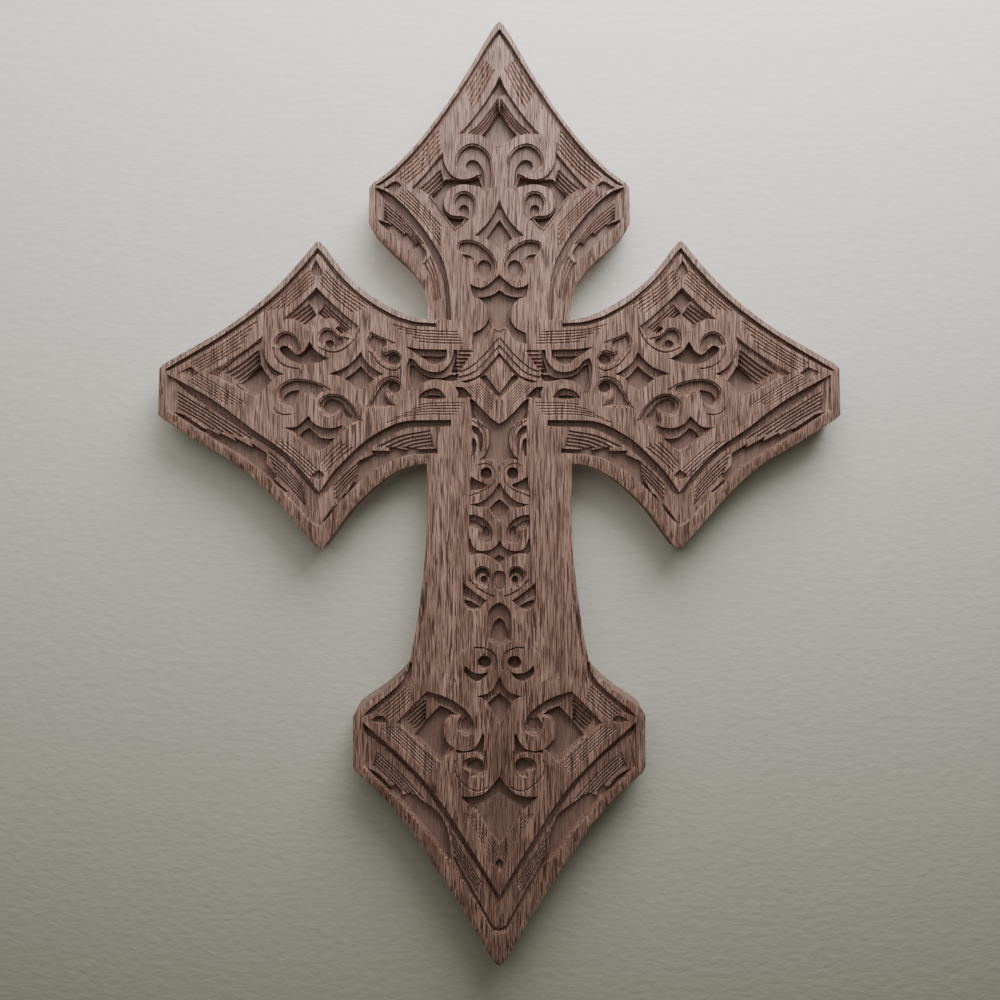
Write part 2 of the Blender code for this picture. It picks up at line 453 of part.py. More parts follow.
def carve_centre(board):
    """Cut the crossing, left of the star."""
    # upper pocket
    board.cut(POCKET, [(-45.5, 18.7, C), (-38, 17.5), (-30, 17.3), (-25.2, 17.1, C), (-25.4, 13.4),
        (-27.6, 10.9), (-31, 9.6), (-34, 10), (-36.4, 12.2), (-39.8, 14.6), (-42.5, 16.6)])
    # upper floor
    board.cut(EYE, [(-40.6, 14.6, C), (-34, 14.3), (-28.6, 14.1), (-26.2, 14.8, C), (-28.2, 11.8),
        (-31, 10.4), (-34, 10.8), (-36.5, 12.8)])
    # gap
    board.cut(POCKET, [(-43.6, 13.2, C), (-41, 12), (-38.4, 9), (-35, 7), (-31, 6.3), (-27.4, 7.2),
        (-24.6, 9.8), (-22.8, 13), (-22.2, 17.1, C), (-20.2, 17.1, C), (-20.6, 12), (-20.8, 8),
        (-20, 6.2), (-19.8, 3.4), (-21.4, 1.4, C), (-25.2, 1.2), (-28, 2.2), (-32, 2.4), (-36, 1.2),
        (-39.4, -1.6), (-41.6, -5, C), (-44, -2), (-44.8, 4), (-45, 9)])
    # gap floor
    board.cut(FLOOR, [(-43.4, 10, C), (-41, 9.4), (-37.8, 6), (-34, 4.2), (-30, 3.6), (-26.4, 3.9),
        (-24.2, 5.1), (-20.4, 5.2, C), (-20.4, 3.4), (-22.2, 1.8, C), (-26, 2.2), (-30, 2.8),
        (-34, 2.5), (-37, 1.2), (-39.8, -1), (-41.4, -3.4, C), (-43, 0), (-43.8, 5)])
    # arch pocket
    board.cut(POCKET, [(-39.4, -6.2, C), (-36.4, -2.9), (-32, -1.5), (-28.8, -2.2), (-25.6, -6, C),
        (-28.4, -6.9), (-33, -7)])
    # arch floor
    board.cut(EYE, [(-37.4, -5.7, C), (-33, -4.7), (-27.6, -5.2, C), (-30, -6.4), (-34.4, -6.5)])
    # wedge
    board.cut(EYE, [(-22.6, -0.4, C), (-18.8, 0), (-15.6, -3), (-12.2, -6.8, C), (-16, -7.1),
        (-20.4, -6.9), (-22.8, -4)])


def carve_star(board):
    """Cut the star on the crossing."""
    # groove
    board.cut_middle(WEDGE, [(0, 15.8, C), (-2.4, 12.9), (-7.4, 7.2), (-11.6, 3.8), (-18.6, 1.8, C),
        (-15.4, 1), (-9.6, 3.6), (-6.4, 5.6), (-2.4, 10.3), (0, 13.4, C)])
    # low groove
    board.cut_middle(POCKET, [(0, -3.8, C), (-6.8, 5, C), (-10.2, 4.2, C), (-5, -1.2), (0, -6.6, C)])
    # groove
    board.cut_middle(CRESCENT, [(0, -18.6, C), (-2.4, -17.4), (-6.6, -13.4), (-12, -7.2),
        (-14.4, -6.4, C), (-13.6, -11.4), (-9.4, -16.6), (-4, -20.6), (0, -22, C)])


def carve_shaft(board):
    """Cut the shaft: scrolls, diamonds and eyes down its middle."""
    # arc pocket
    board.cut(POCKET, [(-13.2, -21, C), (-9.8, -23.5), (-8.1, -27.5), (-8.7, -31.5), (-11, -34.4),
        (-13.2, -35, C)])
    # eye one
    board.cut(EYE, [(-9.5, -43.5), (-8.6, -41.2), (-6.3, -40.2), (-4, -41.2), (-3.1, -43.5),
        (-4, -45.8), (-6.3, -46.8), (-8.6, -45.8)])
    # leaf one
    board.cut(CRESCENT, [(-13.8, -44, C), (-10.6, -46), (-7.4, -47.4), (-6, -48.6), (-8.8, -50.6),
        (-14.6, -51.6, C)])
    # diamond
    board.cut_middle(POCKET, [(0, -47, C), (-3.8, -52.5), (-8.5, -56.3), (-14.8, -57.8, C),
        (-10, -59.3), (-5.8, -59.8), (-4.2, -62), (-2.2, -64.8), (0, -66, C)])
    # diamond floor
    board.cut_middle(EYE, [(0, -55.2, C), (-2.3, -57), (-4.9, -59.8, C), (-3.6, -62), (-1.8, -64),
        (0, -65, C)])
    # scroll two
    board.cut(POCKET, [(-15, -61.4, C), (-11, -62.6), (-6.8, -65), (-3.8, -68.8), (-2.7, -73),
        (-4, -76.2), (-6.8, -77.4), (-9.4, -76.2), (-10.3, -73), (-10.6, -70), (-13, -70.8),
        (-15, -70.8, C)])
    # scroll two floor
    board.cut(EYE, [(-14.6, -66.8, C), (-12, -68), (-9.8, -69.4), (-7, -69), (-4.4, -71), (-3.8, -73.6),
        (-5, -75.8), (-7.2, -76.3), (-9.2, -74.6), (-9.6, -71.4), (-12, -69.6), (-14.6, -70, C)])
    # bow
    board.cut_middle(POCKET, [(0, -75, C), (-2, -78), (-5, -79.8), (-10, -80), (-14.3, -77.4, C),
        (-14.7, -80.5), (-13.6, -82.4, C), (-9, -81.8), (-5.8, -83), (-3, -85), (0, -87, C)])
    # bow floor
    board.cut_middle(EYE, [(0, -82.4, C), (-2.7, -83.8, C), (-1.8, -85.6), (0, -86.6, C)])
    # scroll three
    board.cut(POCKET, [(-13.2, -93), (-11.7, -89.2), (-8.2, -87), (-4.8, -88.6), (-3.1, -92.5),
        (-3.8, -96.6), (-6.4, -98.6), (-9.6, -97.4), (-12.2, -95.4)])
    # scroll three eye
    board.cut(EYE, [(-9.7, -94.6), (-8.6, -92.6), (-7.2, -92.2), (-5.6, -93.4), (-5.4, -95.4),
        (-7, -96.8), (-8.9, -96.2)])
    # kite
    board.cut(POCKET, [(-17.6, -95.2, C), (-12.5, -99.6), (-6, -104.2, C), (-8.2, -106.8),
        (-10.5, -109), (-14, -109), (-16.8, -106.6), (-17.8, -102)])
    # kite floor
    board.cut(EYE, [(-17.2, -102.8, C), (-13.4, -105), (-9.4, -107.4, C), (-11.4, -108.6),
        (-14, -108.6), (-16.4, -106.4)])
    # teardrop
    board.cut_middle(POCKET, [(0, -104.8, C), (-3.6, -107), (-5.6, -110.5), (-6.1, -116),
        (-5.8, -123.8, C), (-3, -125.2), (0, -126.6, C)])
    # teardrop floor
    board.cut_middle(EYE, [(0, -112.8, C), (-2.3, -114.8), (-4, -119), (-4.6, -123.4, C),
        (-2.4, -124.6), (0, -125.8, C)])
    # sunk field on each side of the teardrop, deeper towards the foot
    board.terraces(FIELD_DROP, [(-17.6, -107), (-15, -108.5), (-12.6, -110)],
                   [(-29.8, -142), (-25, -142.8), (-19, -144.8)])
    # body of the lowest scroll, level with the face
    board.cut(FACE, [(-12.2, -125.4, C), (-16.6, -126.9), (-20, -131), (-20.8, -136.4), (-19, -141.4),
        (-15, -145.2), (-10, -147.4), (-4, -143), (-0.6, -136), (-1.6, -129), (-6, -126)])
    # eye four
    board.cut(EYE, [(-10.6, -134), (-9.6, -131.6), (-7.3, -130.7), (-4.9, -131.6), (-3.9, -134),
        (-4.9, -136.4), (-7.3, -137.4), (-9.6, -136.4)])
    # crescent four
    board.cut(CRESCENT, [(-17.6, -133.4, C), (-15.7, -136.3), (-12.5, -138.8), (-8.5, -139.4),
        (-5.5, -138.4, C), (-7, -141.4), (-10.5, -143.7), (-13.5, -142.9), (-16.6, -139.6)])
    # last hole
    board.cut_middle(POCKET, [(0, -140.4, C), (-2.5, -146), (-6, -149), (-11, -150.4, C),
        (-8.5, -151.8), (-6.3, -153.9), (-5.4, -156.2), (-4, -158.6), (-1.8, -162), (0, -164, C)])
    # last floor
    board.cut_middle(EYE, [(0, -149.4, C), (-3, -151.8), (-5.9, -154.4, C), (-4.6, -157.2),
        (-2.2, -161), (0, -163.2, C)])


def carve_foot(board):
    """Cut the foot: a scroll over a hole, and the low eye."""
    # wedge
    board.cut(WEDGE, [(-63, -162.2, C), (-58.2, -159.8), (-55.2, -160.6), (-54.6, -163, C),
        (-58.5, -163.8)])
    # left hole
    board.cut(FIRST_BAND, [(-35, -147.8, C), (-30, -149), (-25, -150.6), (-20, -153.3), (-15.4, -157.2),
        (-12.5, -161.6), (-11.6, -165.4), (-12.8, -168.8), (-15.6, -170.8), (-18.4, -170),
        (-20.6, -167.6), (-21.4, -164.4), (-20.4, -161.6), (-23.4, -160.6), (-25.6, -162.4),
        (-26.9, -166.4), (-26.2, -171), (-23.8, -174.6), (-20.2, -176.6), (-24.4, -178.6, C),
        (-28.8, -182.6, C), (-33.5, -178.4), (-40, -172.4), (-45.5, -167.2), (-49.6, -163.2, C),
        (-43.6, -157), (-38.8, -152)])
    # scroll
    board.cut(POCKET, [(-33, -150.4, C), (-26, -152.4), (-20.4, -155.2), (-16, -158.6), (-13.4, -162.2),
        (-12.8, -165.4), (-13.8, -168), (-16, -169.6), (-18.2, -169), (-19.8, -166.8), (-20.3, -164.2),
        (-19, -161.4), (-21.4, -159.6), (-25.6, -157), (-30, -155, C)])
    # eye
    board.cut(EYE, [(-19.9, -164.6), (-18.8, -161.6), (-16.2, -160.6), (-13.9, -162.8), (-13.4, -165.6),
        (-14.8, -167.8), (-17, -168.4), (-19, -166.8)])
    # hole stair
    board.terraces(TERRACE_DROP, [(-47, -163.6), (-41.4, -157.8), (-35.6, -152)],
                   [(-41, -169), (-38.8, -166), (-35.8, -162.6)])
    # left floor
    board.cut(FLOOR, [(-30.4, -156.4, C), (-26, -158.2), (-22.6, -160.4), (-25.4, -161.4),
        (-27.6, -165.6), (-27.4, -170.4), (-25.2, -174.4), (-22.6, -176.4, C), (-25.6, -178.6),
        (-28.6, -181.2, C), (-33.4, -177.2), (-38.4, -172.6), (-41.4, -169.4, C), (-36.4, -163.4),
        (-33, -159)])
    # gap
    board.cut(CRESCENT, [(-24.8, -173.4, C), (-22, -175.2), (-18, -176.2), (-13.6, -175.6),
        (-10.4, -173), (-8.6, -168.4), (-8, -165.6, C), (-6.5, -169.4), (-6.4, -174), (-7, -179),
        (-6.4, -184), (-7.4, -188.2), (-10.4, -190.6), (-14.4, -190.2), (-17.4, -187.6), (-18, -184.4),
        (-15.6, -182), (-11, -181.3), (-8.9, -179.8), (-9.2, -177.6), (-12, -177), (-16, -177.6),
        (-20.4, -177.4)])
    # low eye
    board.cut(EYE, [(-17, -184.8), (-14.6, -182.9), (-10.6, -182.4), (-7.8, -184.2), (-8.4, -187.4),
        (-10.8, -189.4), (-14, -189.2), (-16.4, -187.2)])
    # low hole
    board.cut_middle(POCKET, [(0, -189.2, C), (-3, -193), (-7, -197), (-12, -198.9), (-19, -199, C),
        (-17.4, -201.6), (-14, -207), (-10.4, -214), (-6, -222.6), (0, -234.6, C)])
    # low floor
    board.cut_middle(EYE, [(0, -198.8, C), (-4, -201.3), (-9.8, -203.6, C), (-11.4, -206), (-8.6, -212),
        (-5, -219), (0, -227.6, C)])


def carved_mesh(board):
    """Build the closed, carved board from the plan of its left half."""
    laid, faces = board.triangles()
    depth = board.depth_at(laid)
    bm = bmesh.new()
    used = np.unique(faces)
    corner = {i: bm.verts.new((laid[i, 0], depth[i] - THICKNESS, laid[i, 1])) for i in used}
    for face in faces:
        bm.faces.new([corner[i] for i in face])
    bmesh.ops.mirror(bm, geom=bm.verts[:] + bm.edges[:] + bm.faces[:], matrix=Matrix(),
                     merge_dist=SAME_POINT, axis="X")
    rim = [edge for edge in bm.edges if edge.is_boundary]
    sides = bmesh.ops.extrude_edge_only(bm, edges=rim)["geom"]
    for vert in (item for item in sides if isinstance(item, bmesh.types.BMVert)):
        vert.co.y = 0
    back = [item for item in sides if isinstance(item, bmesh.types.BMEdge)]
    bmesh.ops.triangle_fill(bm, edges=back, use_beauty=True)
    bmesh.ops.recalc_face_normals(bm, faces=bm.faces[:])
    mesh = bpy.data.meshes.new("cross")
    bm.to_mesh(mesh)
    bm.free()
    return mesh


def wood_material():
    """Red oak, oiled and matt."""
    wood = bpy.data.materials.new("red oak")
    wood.use_nodes = True
    shader = wood.node_tree.nodes["Principled BSDF"]
    shader.inputs["Base Color"].default_value = (0.27, 0.15, 0.12, 1)
    shader.inputs["Roughness"].default_value = 0.7
    shader.inputs["Metallic"].default_value = 0
    return wood


for old in list(bpy.data.objects):
    bpy.data.objects.remove(old)

board = Board(OUTLINE)
carve_head(board)
carve_neck(board)
carve_left_arm(board)
carve_bands(board)
carve_grooves(board)
carve_centre(board)
carve_star(board)
carve_shaft(board)
carve_foot(board)

cross = bpy.data.objects.new("cross", carved_mesh(board))
bpy.context.scene.collection.objects.link(cross)
cross.data.materials.append(wood_material())
cross.data.shade_smooth()
cross.data.set_sharp_from_angle(angle=radians(30))
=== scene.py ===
import bpy
import bmesh
import numpy as np
from math import radians
from mathutils import Matrix, Vector
from mathutils.geometry import delaunay_2d_cdt


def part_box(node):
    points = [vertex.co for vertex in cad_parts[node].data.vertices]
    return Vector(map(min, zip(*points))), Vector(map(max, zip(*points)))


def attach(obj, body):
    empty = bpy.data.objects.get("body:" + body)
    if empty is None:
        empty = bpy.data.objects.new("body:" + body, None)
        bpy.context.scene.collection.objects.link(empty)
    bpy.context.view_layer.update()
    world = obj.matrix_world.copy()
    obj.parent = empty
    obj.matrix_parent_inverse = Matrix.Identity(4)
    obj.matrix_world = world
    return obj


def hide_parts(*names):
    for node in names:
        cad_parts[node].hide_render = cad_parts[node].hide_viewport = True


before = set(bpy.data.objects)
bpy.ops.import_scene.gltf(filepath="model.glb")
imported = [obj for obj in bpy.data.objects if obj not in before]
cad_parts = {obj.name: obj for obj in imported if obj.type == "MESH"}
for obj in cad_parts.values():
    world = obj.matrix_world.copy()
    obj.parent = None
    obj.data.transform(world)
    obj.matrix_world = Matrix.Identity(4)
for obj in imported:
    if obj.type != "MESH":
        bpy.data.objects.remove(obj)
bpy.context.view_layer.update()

low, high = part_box("cross")
print("frame loaded, board", [round(b - a, 4) for a, b in zip(low, high)])

# Camera: straight on, half a metre before the carved face, a little under the crossing
view = {
    "distance": 0.484,     # from the carved face
    "width": 0.483,        # what the picture takes in at the face
    "height": -0.0266,     # of the lens above the crossing
    "centre": (0.0003, -0.0555),
    "sensor": 36,
    "clipStart": 0.01,
}

cameraData = bpy.data.cameras.new("camera")
cameraData.sensor_width = view["sensor"]
cameraData.lens = view["sensor"] * view["distance"] / view["width"]
cameraData.shift_y = (view["centre"][1] - view["height"]) / view["width"]
cameraData.clip_start = view["clipStart"]
camera = bpy.data.objects.new("camera", cameraData)
camera.location = (view["centre"][0], low[1] - view["distance"], view["height"])
camera.rotation_euler = (radians(90), 0, 0)
bpy.context.scene.collection.objects.link(camera)
bpy.context.scene.camera = camera


def addObject(name, data):
    made = bpy.data.objects.new(name, data)
    bpy.context.scene.collection.objects.link(made)
    return made


def finished(bm, name):
    mesh = bpy.data.meshes.new(name)
    bm.to_mesh(mesh)
    bm.free()
    return addObject(name, mesh)


# Shader helpers
def newMaterial(name):
    material = bpy.data.materials.new(name)
    material.use_nodes = True
    tree = material.node_tree
    return material, tree, tree.nodes["Principled BSDF"]


def put(tree, kind, inputs=None, **settings):
    # adds a node, sets its options, and fills or links its sockets
    made = tree.nodes.new("ShaderNode" + kind)
    for name, value in settings.items():
        setattr(made, name, value)
    for name, value in (inputs or {}).items():
        if isinstance(value, bpy.types.NodeSocket):
            tree.links.new(value, made.inputs[name])
        else:
            made.inputs[name].default_value = value
    return made


def stretched(tree, place, scale):
    return put(tree, "Mapping", {"Vector": place, "Scale": scale}).outputs["Vector"]


def noise(tree, place, kind):
    return put(tree, "TexNoise", {"Vector": stretched(tree, place, kind["scale"]), "Scale": 1,
                                  "Detail": kind["detail"], "Roughness": kind.get("roughness", 0.5)})


def spread(tree, value, ends, bottom=0, top=1):
    return put(tree, "MapRange", {"Value": value, "From Min": ends[0], "From Max": ends[1],
                                  "To Min": bottom, "To Max": top}).outputs[0]


def maths(tree, operation, first, second, third=0):
    return put(tree, "Math", {0: first, 1: second, 2: third}, operation=operation).outputs[0]


def ramp(tree, value, stops):
    made = put(tree, "ValToRGB", {"Fac": value})
    band = made.color_ramp
    while len(band.elements) < len(stops):
        band.elements.new(0.5)
    for element, (position, colour) in zip(band.elements, stops):
        element.position = position
        element.color = (*colour, 1)
    return made.outputs["Color"]


def mixed(tree, share, first, second):
    made = put(tree, "Mix", data_type="RGBA")
    for index, value in ((0, share), (6, first), (7, second)):
        if isinstance(value, bpy.types.NodeSocket):
            tree.links.new(value, made.inputs[index])
        else:
            made.inputs[index].default_value = value
    return made.outputs[2]


# Carving: every outline is drawn on the left half. A point is so far left of the crossing's middle
# and so far above it, in parts of the drawn width and height, about a millimetre. c marks a corner.
c = True
carving = {
    "drawnHeight": 457.2,
    "drawnWidth": 330,
    "tolerance": 0.00003,     # how closely a curve is followed
    "curveSteps": 14,
    "samePoint": 0.000002,
    "sharpAngle": 30,
    "mitre": {"least": 0.5, "kept": 0.9},     # how far a corner may run out, and what is cleaned away
    "edge": {"width": 0.0028, "drop": 0.0008},     # the rim leans outwards
    "depth": {"face": 0, "ring": 0.0012, "band": 0.002, "firstBand": 0.0022, "wedge": 0.0024,
              "groove": 0.003, "pocket": 0.0032, "bandGroove": 0.004, "crescent": 0.0044,
              "bandFloor": 0.0055, "eye": 0.0058, "floor": 0.006,
              "panel": 0.0006, "field": 0.0008, "valley": 0.0048},
    "wall": {"ring": 0.0003, "panel": 0.0003, "field": 0.0024, "valley": 0.001},
    "usualWall": 0.0006,
    "ledge": {"width": 0.0009, "change": 0.0009, "wall": 0.0003, "mode": "deepen"},     # round a scroll
    "lip": {"width": 0.0009, "change": 0.0006, "wall": 0.0004, "mode": "raise", "below": 0.002},
    "step": {"band": {"drop": 0.0004, "wall": 0.0003}, "pocket": {"drop": 0.0008, "wall": 0.0004},
             "star": {"drop": 0.0005, "wall": 0.0003}},
    "line": {"width": 0.0011, "depth": 0.0009},      # a single fine groove
    # groove width in its spacing, depth in its width, step between its points, fewest of those,
    # shortest length in widths, and its place on the tread of a step
    "reed": {"share": 0.72, "slope": 0.55, "step": 0.0015, "points": 3, "shortest": 3, "tread": 0.45},
}
up = (high[2] - low[2]) / carving["drawnHeight"]
leftwards = -(high[0] - low[0]) / carving["drawnWidth"]
cuts = []

boardOutline = [
    (0, 176.3, c), (3, 173), (9, 163), (15, 152.6), (20, 144.5), (25, 136.8), (30, 129.8), (40, 117),
    (50, 106.6), (57, 100.8), (61.2, 97.9), (63, 95.3, c), (63.2, 78.5, c), (62, 75.7), (59.5, 72.8),
    (55, 67.9), (50, 63.2), (45, 58.7), (41, 53.8), (37.2, 48.1), (35.6, 44), (34.8, 39), (34.4, 31.6, c),
    (39, 32.4), (45, 34.1), (55, 39), (65, 45.4), (75, 54.4), (82.5, 63.7), (86, 68.6), (87.7, 69.7, c),
    (89.2, 68.8), (95, 61.8), (105, 50.6), (115, 41.1), (125, 33.1), (135, 26.1), (145, 20.3), (155, 14.6),
    (162, 10.5), (164.6, 8, c), (165, -14.6, c), (160, -18.3), (150, -24.6), (140, -30.5), (130, -36.4),
    (121, -43.2), (110, -53.6), (100, -65.2), (92, -74.3), (88.5, -78.3), (86.5, -79.2, c), (84.8, -78),
    (80, -71.6), (75, -64.6), (70, -58.4), (60, -49), (50, -42), (42, -38.7), (34.9, -37.8, c), (34.9, -60),
    (35.6, -78), (37.3, -96), (39.3, -112), (42, -127), (43.5, -133.5), (46, -138.5), (50, -142.7),
    (57.5, -149), (65, -154), (69, -157.2), (70.7, -160.5, c), (70.7, -184.5, c), (69.3, -187.5),
    (65, -191.4), (58, -197.8), (50, -206.3), (42, -216.8), (34, -229), (26, -241), (18, -253.2),
    (10, -266.3), (4.5, -276), (1.5, -280.2), (0, -280.9, c)]


def curve(points):
    # a smooth curve through an open run of points
    points = np.array(points, dtype=float)
    before = np.vstack([2 * points[0] - points[1], points[:-1]])
    after = np.vstack([points[1:], 2 * points[-1] - points[-2]])
    followed = []
    for i in range(len(points) - 1):
        p0, p1, p2, p3 = before[i], points[i], points[i + 1], after[i + 1]
        for t in np.arange(carving["curveSteps"]) / carving["curveSteps"]:
            followed.append(0.5 * (2 * p1 + (p2 - p0) * t + (2 * p0 - 5 * p1 + 4 * p2 - p3) * t ** 2
                                   + (3 * p1 - p0 - 3 * p2 + p3) * t ** 3))
    return np.array(followed + [points[-1]])


def thinOut(run):
    # drops the points that a straight run doesn't need
    along = run[-1] - run[0]
    length = np.hypot(*along)
    apart = run - run[0]
    if length < carving["samePoint"]:
        away = np.hypot(apart[:, 0], apart[:, 1])
    else:
        away = np.abs(apart[:, 0] * along[1] - apart[:, 1] * along[0]) / length
    far = int(np.argmax(away))
    if away[far] < carving["tolerance"]:
        return run[[0, -1]]
    return np.vstack([thinOut(run[:far + 1])[:-1], thinOut(run[far:])])


def drawn(points, closed=True):
    # drawing points as a line in metres, curved between its corners
    flat = np.array([(p[0] * leftwards, p[1] * up) for p in points])
    count = len(points)
    corners = [i for i, p in enumerate(points) if len(p) > 2]
    if not corners:
        ring = curve(flat[np.arange(-1, count + 2) % count])
        ring = ring[carving["curveSteps"]:-carving["curveSteps"]]
        half = len(ring) // 2
        return np.vstack([thinOut(part)[:-1] for part in (ring[:half + 1], ring[half:])])
    ends = corners[1:] + ([corners[0] + count] if closed else [])
    runs = [thinOut(curve(flat[np.arange(a, b + 1) % count]))[:-1] for a, b in zip(corners, ends)]
    return np.vstack(runs if closed else runs + [flat[-1:]])


def addCut(ring, depth, wall, mode="set", crease=None):
    cuts.append({"ring": ring, "depth": depth, "wall": wall, "mode": mode, "crease": crease})


def sink(ring, kind, around, mode):
    # a shape sunk to the depth of its kind, with a ledge or a raised lip around it
    if around:
        border = carving[around]
        addCut(offset(ring, -border["width"]), border["change"], border["wall"], border["mode"])
    addCut(ring, carving["depth"][kind], carving["wall"].get(kind, carving["usualWall"]), mode)


def cut(kind, points, around=None, mode="set"):
    # a later cut wins over an earlier one
    sink(drawn(points), kind, around, mode)


def cutMiddle(kind, points, around=None, mode="set"):
    # a shape across the middle line, drawn from top to bottom on its left side
    half = drawn(points, closed=False)
    sink(np.vstack([half, half[-2:0:-1] * (-1, 1)]), kind, around, mode)


def reed(points, width, depth):
    # a thin V groove along an open curve, pointed at both ends
    path = curve([p[:2] for p in points]) * (leftwards, up)
    reach = np.append(0, np.cumsum(np.hypot(*np.diff(path, axis=0).T)))
    if reach[-1] < carving["reed"]["shortest"] * width:
        return
    count = max(carving["reed"]["points"], int(reach[-1] / carving["reed"]["step"]))
    stops = np.linspace(width, reach[-1] - width, count)
    stops = np.concatenate([[0], stops, reach[-1:]])
    middle = np.stack([np.interp(stops, reach, path[:, i]) for i in (0, 1)], axis=1)
    toward = np.gradient(middle, axis=0)
    side = np.stack([-toward[:, 1], toward[:, 0]], axis=1) / np.hypot(*toward.T)[:, None] * width / 2
    ring = np.vstack([middle[:1], (middle + side)[1:-1], middle[-1:], (middle - side)[-2:0:-1]])
    addCut(ring, depth, width / 2, "add", middle[1:-1])


def line(points):
    reed(points, carving["line"]["width"], carving["line"]["depth"])


def reeds(count, outer, inner, start=0.5):
    # a row of reeds between the outer line and the inner one
    outer, inner = np.array(outer, dtype=float), np.array(inner, dtype=float)
    ends = (outer[-1] - outer[0]) * (leftwards, up)
    between = (inner - outer).mean(0) * (leftwards, up)
    pitch = abs(ends[0] * between[1] - ends[1] * between[0]) / np.hypot(*ends) / count
    width = carving["reed"]["share"] * pitch
    for i in range(count):
        reed(outer + (inner - outer) * (i + start) / count, width, carving["reed"]["slope"] * width)


def steps(kind, count, outer, inner):
    # a flight of steps, down from the outer line to the inner one, with a reed on each tread
    outer, inner = np.array(outer, dtype=float), np.array(inner, dtype=float)
    for i in range(count):
        upper = outer + (inner - outer) * i / count
        points = [(*upper[0], c), *upper[1:-1], (*upper[-1], c),
                  (*inner[-1], c), *inner[-2:0:-1], (*inner[0], c)]
        addCut(drawn(points), carving["step"][kind]["drop"], carving["step"][kind]["wall"], "add")
    reeds(count, outer, inner, carving["reed"]["tread"])


def distanceTo(points, ring):
    # distance of each point from a closed line, and whether it lies inside
    ends = np.roll(ring, -1, axis=0)
    along = ends - ring
    apart = points[:, None, :] - ring[None, :, :]
    share = np.clip((apart * along).sum(2) / (along ** 2).sum(1), 0, 1)
    gap = apart - share[:, :, None] * along
    beside = (ring[None, :, 1] > points[:, 1:]) != (ends[None, :, 1] > points[:, 1:])
    rise = np.where(along[:, 1] == 0, 1, along[:, 1])
    crossing = ring[:, 0] + (points[:, 1:] - ring[:, 1]) * along[:, 0] / rise
    inside = (beside & (points[:, :1] < crossing)).sum(1) % 2 == 1
    return np.sqrt((gap ** 2).sum(2)).min(1), inside


def offset(ring, gap):
    # the closed line at a distance inside a ring, or outside it if the distance is negative
    toward = np.roll(ring, -1, axis=0) - ring
    toward /= np.hypot(toward[:, 0], toward[:, 1])[:, None]
    normal = np.stack([-toward[:, 1], toward[:, 0]], axis=1)
    area = (ring[:, 0] * np.roll(ring[:, 1], -1) - np.roll(ring[:, 0], -1) * ring[:, 1]).sum()
    normal *= np.sign(area)
    mitre = normal + np.roll(normal, 1, axis=0)
    mitre /= np.maximum((mitre ** 2).sum(1) / 2, carving["mitre"]["least"])[:, None]
    moved = ring + mitre * gap
    away, inside = distanceTo(moved, ring)
    return moved[(inside == (gap > 0)) & (away > carving["mitre"]["kept"] * abs(gap))]


